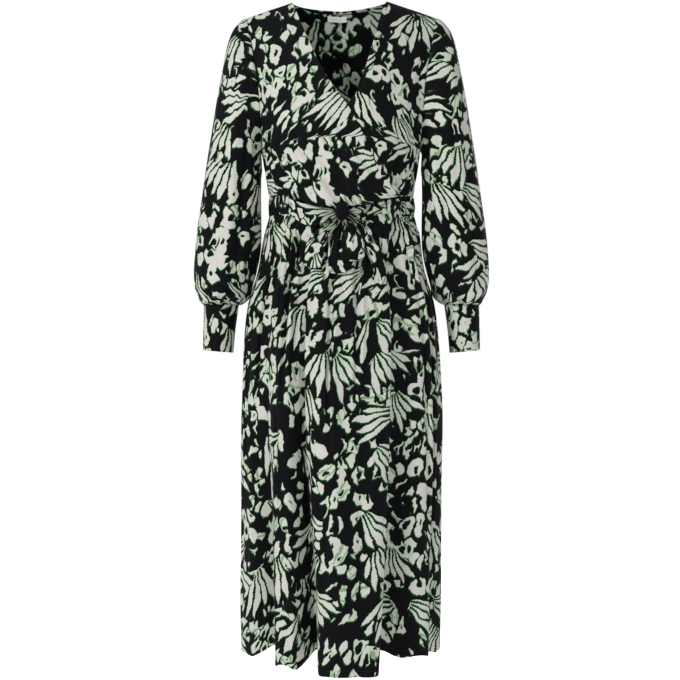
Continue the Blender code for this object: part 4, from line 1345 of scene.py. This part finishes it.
CREASES_SKIRT_BACK = (
    (0.09, 0.00, 0.10, 0.52, 4, 7.0, 2),
    (0.165, 0.00, 0.155, 0.95, 4, 8.0, -2),
    (0.245, 0.02, 0.25, 0.60, 4, 6.5, 2),
    (0.325, 0.00, 0.33, 0.96, 5, 8.5, 2),
    (0.41, 0.00, 0.40, 0.44, 4, 6.5, -2),
    (0.50, 0.00, 0.505, 0.90, 4, 7.5, 3),
    (0.585, 0.02, 0.58, 0.50, 4, 6.5, 2),
    (0.675, 0.00, 0.68, 0.97, 5, 8.5, -3),
    (0.77, 0.00, 0.765, 0.58, 4, 7.0, 2),
    (0.85, 0.00, 0.86, 0.92, 4, 7.5, 2),
    (0.93, 0.02, 0.93, 0.46, 4, 6.5, -2),
    (0.05, 0.02, 0.05, 0.36, 6, 2.2, 3),
    (0.12, 0.00, 0.13, 0.60, 7, 2.4, 5),
    (0.19, 0.02, 0.18, 0.30, 5, 2.0, -3),
    (0.27, 0.00, 0.28, 0.52, 6, 2.4, 5),
    (0.35, 0.02, 0.34, 0.34, 5, 2.2, 3),
    (0.43, 0.00, 0.44, 0.66, 7, 2.6, -5),
    (0.51, 0.02, 0.50, 0.28, 5, 2.0, 3),
    (0.59, 0.00, 0.60, 0.54, 6, 2.4, 5),
    (0.67, 0.02, 0.66, 0.36, 5, 2.2, -4),
    (0.75, 0.00, 0.76, 0.62, 7, 2.4, 5),
    (0.83, 0.02, 0.82, 0.30, 5, 2.0, 3),
    (0.91, 0.00, 0.92, 0.50, 6, 2.4, -4),
    (0.97, 0.02, 0.97, 0.34, 5, 2.0, 2),
    (0.22, 0.46, 0.23, 0.98, 8, 2.4, 7),
    (0.48, 0.50, 0.47, 0.98, 8, 2.4, -7),
    (0.72, 0.44, 0.73, 0.98, 8, 2.4, 7),
)
SKIRT_WAVES = ((2.6, 1.1, 10, 0.7), (5.3, -1.7, 130, 0.45), (1.4, 2.7, 240, 0.6), (8.1, 0.8, 310, 0.3))
GATHER_HIGH, GATHER_REACH, GATHER_LEAN, GATHER_SUNK = 4.8, 80.0, 1.4, 0.4
WAIST_CLOTH, COVERED_SKIRT, FALL_EVEN, FALL_CLOSER = 0.8, 5.0, 0.6, 0.4
CREASE_RUN, WAVE_RUN, EDGE_RUN = 12, 60, 16
TIE_ROOM, SKIRT_ROOM, TIE_TALL, ROOM_RUN = 3.6, 60.0, 22, 60


def skirt_fall():
    """Shares of the fall, closer together where the gathers are."""
    even = np.linspace(0, 1, SKIRT_ROWS + 1)
    return FALL_EVEN * even + FALL_CLOSER * even**2


def make_skirt(name, angle, folds, covered, table, count, seed, start, free_side=None):
    fall = np.broadcast_to(skirt_fall()[:, None], angle.shape)
    points = skirt_points(angle, fall, folds, (UNDER_BACK + COVERED_SKIRT) * covered)
    across = np.linspace(0, 1, angle.shape[1])[None, :]
    across = np.broadcast_to(across, angle.shape)
    wide = np.linalg.norm(np.diff(points, axis=1), axis=2).sum(axis=1)[:, None]
    down = fall * SKIRT_TALL
    height = creases(table, across, fall, wide, SKIRT_TALL) * eased(down / CREASE_RUN)
    height += gathers(across, down, count, GATHER_HIGH, GATHER_REACH, GATHER_LEAN, seed)
    height -= GATHER_SUNK * GATHER_HIGH * np.exp(-down / GATHER_REACH)
    height += waves(across, fall, SKIRT_WAVES) * eased(down / WAVE_RUN)
    edge = np.minimum(across, 1 - across) * wide
    height *= eased(edge / EDGE_RUN) * (1 - COVERED_FLAT * covered)
    room = TIE_ROOM + SKIRT_ROOM * eased((down - TIE_TALL) / ROOM_RUN)
    height = np.where(height > 0, room * np.tanh(height / room), height)
    points = points + normals_of(points, on_axis(points)) * height[..., None]
    wide = np.linalg.norm(np.diff(points, axis=1), axis=2).sum(axis=1)[:, None]
    cloth = measured(points, angle.shape[1] // 2, start, np.maximum(1, WAIST_CLOTH * wide[-1] / wide))
    edges = [("bottom", hem(SKIRT_HEM)), ("top", WAIST_SEAM)]
    for side in ("left", "right"):
        edges.append((side, hem(WRAP_HEM) if side == free_side else SKIRT_SEAM))
    sew_panel(name, points, cloth, on_axis(points), edges)
    seams["hem_stitches"].append(seam_line(points, on_axis(points), "bottom", SKIRT_HEM - STITCH_IN))
    if free_side:
        line = seam_line(points, on_axis(points), free_side, WRAP_HEM - STITCH_IN)
        seams["wrap_stitches"].append(line)


def front_angles(edge, hand, columns):
    """Angles from the side seam to a front's free edge, in rows down the skirt."""
    side = math.radians(90) * hand
    free = np.radians(read(edge, skirt_fall()[:, None])[..., 0])
    return side + (free - side) * np.linspace(0, 1, columns + 1)[None, :]


over_angle = front_angles(OVER_EDGE, RIGHT, OVER_COLUMNS)
under_angle = front_angles(UNDER_EDGE, LEFT, UNDER_COLUMNS)[:, ::-1]
covered = 1 - eased((under_angle - BACK_FROM) / BACK_RUN)
back_angle = np.radians(np.linspace(90, 270, SKIRT_BACK_COLUMNS + 1))[None, :] + 0 * skirt_fall()[:, None]
make_skirt(
    "skirt_front_over_cloth", over_angle, FOLDS_OVER, 0.0, CREASES_SKIRT_OVER,
    count=34, seed=31, start=(200, -420), free_side="right",
)
make_skirt(
    "skirt_front_under_cloth", under_angle, FOLDS_UNDER, covered, CREASES_SKIRT_UNDER,
    count=30, seed=37, start=(760, -500), free_side="left",
)
make_skirt(
    "skirt_back_cloth", back_angle, FOLDS_BACK, 0.0, CREASES_SKIRT_BACK,
    count=46, seed=41, start=(1400, -380),
)

# %% [markdown]
# ## The tie, its knot and bow
# Two ties are sewn to the band at the side fronts, full width there and pinched at the knot.
# They are strips with both long edges turned under. Creases run out of the knot and fade, so
# they are soft ridges across the strip that grow towards it.
# %% The ties
TIE_RIGHT = (
    # position across, upper edge, lower edge, distance in front of the waist
    (-95, -344, -374, 3.0),
    (-78, -352, -390, 5.5),
    (-58, -362, -400, 8.5),
    (-36, -367, -397, 11.0),
    (-9, -371, -387, 12.5),
)
TIE_LEFT = (
    (98, -346, -382, 3.0),
    (92, -349, -392, 5.0),
    (70, -356, -396, 8.0),
    (44, -362, -392, 11.0),
    (11, -369, -386, 12.5),
)
TIE_BED = ((-330, 97), (-345, 94.5), (-376, 94.5), (-400, 100), (-430, 107))
TIE_COLUMNS, TIE_ROWS, TIE_CROWN = 84, 48, 0.8
STRIP_EDGE, STRIP_BODY, STRIP_CORNER, STRIP_CUT = 5.0, 0.7, 0.1, 50.0
RIDGE_SOON, RIDGE_SOON_RUN, RIDGE_SUNK = 0.35, 0.25, 0.35
TIE_RIDGES_RIGHT = (
    # share down the strip at the seam and at the knot, half width as a share, height, start
    (0.10, 0.14, 0.09, 3.2, 0.20),
    (0.26, 0.32, 0.08, 4.6, 0.00),
    (0.43, 0.48, 0.07, 3.6, 0.35),
    (0.60, 0.60, 0.09, 5.2, 0.00),
    (0.78, 0.74, 0.08, 4.2, 0.15),
    (0.92, 0.90, 0.06, 3.2, 0.40),
)
TIE_RIDGES_LEFT = (
    (0.06, 0.12, 0.07, 3.8, 0.00),
    (0.20, 0.26, 0.07, 5.0, 0.00),
    (0.34, 0.40, 0.06, 4.0, 0.20),
    (0.50, 0.52, 0.08, 5.2, 0.00),
    (0.66, 0.66, 0.07, 4.6, 0.10),
    (0.82, 0.80, 0.07, 5.0, 0.00),
    (0.95, 0.92, 0.05, 3.4, 0.30),
)


def in_front(points):
    """Points behind those of a strip that faces forwards."""
    return points + np.array([0, 1, 0])


def ridges(table, along, down):
    """Creases of a strip. along runs from 0 at its seam to 1 at the knot."""
    height = np.zeros(np.broadcast(along, down).shape)
    for at_seam, at_knot, wide, high, start in table:
        at = at_seam + (at_knot - at_seam) * along
        soon = eased((along - start) / RIDGE_SOON_RUN)
        grown = RIDGE_SOON * soon + (1 - RIDGE_SOON) * eased((along - start) / (1 - start))
        height = height + high * grown * bump(down - at, wide) - RIDGE_SUNK * high * grown
    return height


def strip_cloth(points, start, upright):
    """The cloth's coordinates on a strip of one width, drawn together at the knot."""
    rows, columns = points.shape[:2]
    along = run_along(points[:, columns // 2] if upright else points[rows // 2])
    if upright:
        across, down = STRIP_CUT * np.linspace(0, 1, columns)[None, :], along[:, None]
    else:
        across, down = along[None, :], STRIP_CUT * np.linspace(0, 1, rows)[:, None]
    return np.stack(np.broadcast_arrays(start[0] + across, start[1] - down), axis=-1)


def sew_strip(name, points, inside, start, ends):
    """A strip with both long edges turned under, and the ends that are asked for. The lower
    end of an upright strip turns only half as far at its corners, which are double already."""
    upright = "left" in ends
    cloth = strip_cloth(points, start, upright)
    for edge in ends:
        turning = hem(STRIP_EDGE)
        if upright and edge == "bottom":
            is_side = np.abs(np.linspace(-1, 1, points.shape[1])) > STRIP_BODY
            turn = np.where(is_side, SEAM_TURN, HEM_TURN)
            turning = (HEM_RADIUS, turn, np.where(is_side, STRIP_CORNER, STRIP_EDGE))
        points, cloth, inside = finish_edge(points, cloth, edge, inside, *turning)
    sew(name + "_cloth", points, cloth, normals_of(points, inside))


def make_tie(name, table, table_ridges, start):
    places = np.array([row[0] for row in table], float)
    along = np.linspace(0, 1, TIE_COLUMNS + 1)[None, :]
    x = places[0] + (places[-1] - places[0]) * along
    upper, lower, out = np.moveaxis(read(table, x), -1, 0)
    down = np.linspace(0, 1, TIE_ROWS + 1)[:, None]
    z = upper + (lower - upper) * down
    x = np.broadcast_to(x, z.shape)
    depth = read(TIE_BED, z)[..., 0] * np.sqrt(1 - (x / SKIRT_FORM[0][1]) ** 2)
    height = ridges(table_ridges, along, down) + TIE_CROWN * along * np.sin(down * math.pi)
    points = np.stack([x, -(depth + out + height), z], axis=-1)
    sew_strip(name, points, in_front(points), start, ("top", "bottom"))


make_tie("tie_right", TIE_RIGHT, TIE_RIDGES_RIGHT, (60, 930))
make_tie("tie_left", TIE_LEFT, TIE_RIDGES_LEFT, (330, 985))

# %% [markdown]
# The knot is one turn of the tie round itself: a short tube about the left-right axis, drawn in
# at both ends where it closes on the ties that run into it, with folds that wander round it.
# %% The knot
KNOT_MIDDLE, KNOT_HALF = (1.0, -115.5, -377.5), (13.2, 9.5, 14.5)
KNOT_ROUND, KNOT_ACROSS, KNOT_SQUARE, KNOT_END = 96, 34, 0.62, 0.04
KNOT_DRAWN, KNOT_CORNERS, KNOT_SUNK, KNOT_SMOOTH = 3.2, 0.85, 1.3, 0.5
KNOT_FOLDS = (
    # share across at the top and at the bottom, half width as a share, height
    (0.14, 0.34, 0.10, 1.9),
    (0.36, 0.58, 0.13, 2.3),
    (0.66, 0.80, 0.10, 1.5),
)


def squarer(wave):
    return np.sign(wave) * np.abs(wave) ** KNOT_CORNERS


def make_knot(name, start):
    turn = np.linspace(-math.pi, math.pi, KNOT_ROUND + 1)[None, :]
    across = np.sin(np.linspace(-1, 1, KNOT_ACROSS + 1) * math.pi / 2)[:, None]
    drawn = KNOT_END + (1 - KNOT_END) * (1 - np.abs(across) ** KNOT_DRAWN) ** KNOT_SQUARE
    x = KNOT_MIDDLE[0] + KNOT_HALF[0] * across + 0 * turn
    y = KNOT_MIDDLE[1] - KNOT_HALF[1] * drawn * squarer(np.cos(turn))
    z = KNOT_MIDDLE[2] + KNOT_HALF[2] * drawn * squarer(np.sin(turn))
    points = np.stack([x, y, z], axis=-1)
    middle = np.stack([x, KNOT_MIDDLE[1] + 0 * x, KNOT_MIDDLE[2] + 0 * x], axis=-1)
    share, fall = (across + 1) / 2, (1 - np.sin(turn)) / 2
    height = 0 * x - KNOT_SUNK
    for at_top, at_low, wide, high in KNOT_FOLDS:
        height += high * bump(share - at_top - (at_low - at_top) * fall, wide)
    height *= eased(drawn / KNOT_SMOOTH)
    height[:, -1] = height[:, 0]
    points = points + normals_of(points, middle, True) * height[..., None]
    cloth = measured(points, KNOT_ROUND // 2, start)
    sew(name, points, cloth, normals_of(points, middle, True), True)


make_knot("knot_cloth", (378, 195))

# %% [markdown]
# The bow hangs in two drooping loops and two free ends. A loop is one strip that runs down in
# front, turns at the bottom and comes back up behind. They lie against the skirt, so their
# distance is measured from its surface.
# %% The loops and tails
LOOP_RIGHT = (
    # height, left edge, right edge, distance in front of the skirt
    (-388, -9, 0, 14),
    (-400, -24, -6, 13),
    (-412, -46, -17, 13),
    (-430, -60, -26, 13),
    (-452, -65, -32, 11.5),
    (-474, -68, -36, 9),
)
LOOP_LEFT = (
    (-388, 3, 11, 15.5),
    (-402, 7, 24, 15.5),
    (-416, 6, 33, 15.5),
    (-434, 3, 38, 15),
    (-452, 0, 40, 13.5),
    (-462, -2, 40, 11.5),
)
TAIL_RIGHT = (
    (-387, -6, 8, 8),
    (-402, -13, 10, 5.5),
    (-420, -18, 11, 3.5),
    (-450, -24, 12, 3.5),
    (-486, -22, 18, 3.5),
)
TAIL_LEFT = (
    (-381, 6, 15, 8),
    (-389, 14, 26, 8.5),
    (-400, 24, 44, 7.5),
    (-425, 34, 61, 6.5),
    (-450, 43.5, 72, 6),
    (-478, 51, 80, 5.5),
    (-504, 53, 81, 5),
)
STRIP_ROWS, STRIP_COLUMNS, TAIL_CLEAR, END_ROUND = 56, 36, 1.2, 5.0
LOOP_APART, LOOP_TURN_ROWS, LOOP_EDGE, LOOP_CROWN, LOOP_BACK = 5.0, 10, 3.0, 1.6, 0.5
CURL_HIGH, CURL_ACROSS, CURL_DOWN, CURL_FADE = 1.6, 2.4, 1.9, 0.5
BOW_RIDGES = (
    # share across at the knot and at the end, half width as a share, height, where it fades
    (0.16, 0.10, 0.13, 2.6, 0.60),
    (0.46, 0.38, 0.20, 4.4, 1.30),
    (0.84, 0.88, 0.15, 3.4, 0.95),
)


def on_skirt(x, z, out):
    """Points a given distance in front of the upper skirt front."""
    half = read(SKIRT_FORM, z)[..., 0]
    fall = (SKIRT_FORM[0][0] - z) / (SKIRT_FORM[0][0] - HEM)
    bed = skirt_points(np.arcsin(x / half), fall, FOLDS_OVER, height=z)
    return np.stack([x, bed[..., 1] - out, z], axis=-1)


def strip(table, slant):
    """Places over a table of left and right edges, with creases that run out of the knot. The
    lower end is rounded, and slants by a few millimetres."""
    down = np.linspace(0, 1, STRIP_ROWS + 1)[:, None]
    z = table[0][0] + (table[-1][0] - table[0][0]) * down
    left, right, out = np.moveaxis(read(table, z), -1, 0)
    across = np.linspace(0, 1, STRIP_COLUMNS + 1)[None, :]
    x = left + (right - left) * across
    height = 0 * x
    for at_knot, at_end, wide, high, end in BOW_RIDGES:
        at = at_knot + (at_end - at_knot) * down
        height = height + high * (1 - eased(down / end)) * bump(across - at, wide)
    off = 2 * across - 1
    z = z + (END_ROUND * off**2 + slant * off) * eased(down) ** 2
    return x, z, out + 0 * x, height, across, down


def make_tail(name, table, start, slant):
    x, z, out, height, across, down = strip(table, slant)
    curl = np.sin(CURL_ACROSS * math.pi * across + CURL_DOWN * down) * eased(down / CURL_FADE)
    cupped = (2 * across - 1) ** 2
    points = on_skirt(x, z, out + TAIL_CLEAR + height + CURL_HIGH * curl + cupped)
    sew_strip(name, points, in_front(points), start, ("left", "right", "bottom"))


def make_loop(name, table, start, slant):
    x, z, out, height, across, down = strip(table, slant)
    bow = LOOP_CROWN * np.sin(math.pi * down) * np.sin(math.pi * across)
    front = on_skirt(x, z, out + bow + height)
    back = on_skirt(x, z, out - LOOP_APART + LOOP_BACK * height)
    middle, half = (front[-1] + back[-1]) / 2, (front[-1] - back[-1]) / 2
    fall = np.array([0, 0, -1]) * np.linalg.norm(half, axis=-1, keepdims=True)
    turns = np.linspace(0, math.pi, LOOP_TURN_ROWS + 2)[1:-1]
    bend = np.array([middle + half * math.cos(a) + fall * math.sin(a) for a in turns])
    points = np.concatenate([front, bend, back[::-1]])
    between = (front + back) / 2
    inside = np.concatenate([between, np.array([middle] * len(turns)), between[::-1]])
    cloth = strip_cloth(points, start, True)
    edges = (("left", hem(LOOP_EDGE)), ("right", hem(LOOP_EDGE)))
    sew_panel(name + "_cloth", points, cloth, inside, edges)


make_loop("loop_right", LOOP_RIGHT, (820, 1010), -2.5)
make_loop("loop_left", LOOP_LEFT, (905, 880), 3.0)
make_tail("tail_right", TAIL_RIGHT, (1010, 960), 3.5)
make_tail("tail_left", TAIL_LEFT, (1120, 1030), -4.5)

# %% [markdown]
# ## The neck label
# A small blank woven tape is sewn inside the back, just under the neck edge.
# %% The label
LABEL_LEFT, LABEL_RIGHT, LABEL_DROP, LABEL_TALL, LABEL_THICK, LABEL_CLEAR = -27.5, 10.5, 10.0, 9.5, 0.6, 2.6
LABEL_COLUMNS, LABEL_ROWS = 40, 16
LABEL_WARP, LABEL_WEFT, LABEL_RIB, LABEL_SHADE = 0.5, 0.35, 0.08, 0.9


def woven_tape(name, colour):
    finish = Finish(name, 0.7)
    cloth = finish.node("UVMap", {}, uv_map="cloth")
    lanes = finish.node("SeparateXYZ", {0: finish.scaled(cloth, CLOTH_MM)})
    warp = lanes.math("SINE", lanes * (TAU / LABEL_WARP))
    rib = warp * lanes.math("SINE", lanes.also("Y") * (TAU / LABEL_WEFT))
    finish.set(Base_Color=finish.mixed(rib * 0.5 + 0.5, colour, darker(colour, LABEL_SHADE)))
    finish.set(Normal=raised(finish, rib, LABEL_RIB, 0.6))
    return finish.material


label_weave = woven_tape("label_weave", (0.98, 0.98, 0.96, 1))
half_round = edge_angle(np.array(1.0)) * read(BODICE_FORM, 1.0)[0]
tall = read(SHOULDER_LINE, 0.0)[0] - WAIST_TOP
across = np.linspace(LABEL_LEFT, LABEL_RIGHT, LABEL_COLUMNS + 1)[None, :] / half_round
drop = 1 - (LABEL_DROP + np.linspace(0, LABEL_TALL, LABEL_ROWS + 1)[:, None]) / tall
across, drop = np.broadcast_arrays(across, drop)
points = back_points(across, drop, -LABEL_CLEAR)
outward = -normals_of(points, on_axis(points))
tape = (label_weave, label_weave)
sew("neck_label_tape", points, measured(points, 0), outward, False, LABEL_THICK, tape)

# %% [markdown]
# ## Stitches
# Rows of machine stitches hold the hems of the skirt, the wrap edges and the neck, and the seams
# at the waist and the cuffs. They could be a bump in the material, but thread stands up from the
# cloth and catches light along its edge. Each stitch is a small faceted bead drawn out along its
# seam, because there are nearly two thousand of them.
# %% Sew the rows of stitches
STITCH_LONG, STITCH_GAP, THREAD_THICK = 2.3, 1.1, 0.4
THREAD_COLOUR, THREAD_PALE = (0.006, 0.006, 0.008, 1), (0.016, 0.016, 0.02, 1)
THREAD_TWIST, THREAD_RIB = 0.35, 0.04


def thread_finish(name):
    """Near-black spun thread with a fine twist, read from the dress's own coordinates."""
    finish = Finish(name, 0.6)
    place = finish.node("TexCoord", {}, "Object")
    twist = finish.node("SeparateXYZ", {0: finish.scaled(place, CLOTH_MM)})
    turns = (twist + twist.also("Z")) * (TAU / THREAD_TWIST)
    strand = turns.math("SINE", turns)
    finish.set(Base_Color=finish.mixed(strand * 0.5 + 0.5, THREAD_COLOUR, THREAD_PALE))
    finish.set(Normal=raised(finish, strand, THREAD_RIB, 0.5))
    return finish.material


def sew_stitches(name, lines, thread):
    work = bmesh.new()
    count = 0
    size = Vector((STITCH_LONG / 2, THREAD_THICK / 2, THREAD_THICK / 2)) * MM
    for line in lines:
        along = run_along(line)
        for at in np.arange(STITCH_GAP, along[-1] - STITCH_LONG, STITCH_LONG + STITCH_GAP):
            first = Vector(at_distance(line, along, at)) * MM
            last = Vector(at_distance(line, along, at + STITCH_LONG)) * MM
            turn = (last - first).to_track_quat("X", "Z")
            matrix = Matrix.LocRotScale((first + last) / 2, turn, size)
            bmesh.ops.create_icosphere(work, subdivisions=1, radius=1, matrix=matrix)
            count += 1
    mesh = bpy.data.meshes.new(name)
    work.to_mesh(mesh)
    work.free()
    mesh.materials.append(thread)
    made = bpy.data.objects.new(name, mesh)
    bpy.context.scene.collection.objects.link(made)
    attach(made, BODY)
    print(f"{name}: {count} stitches")


thread = thread_finish("thread")
for name, lines in seams.items():
    sew_stitches(name, lines, thread)
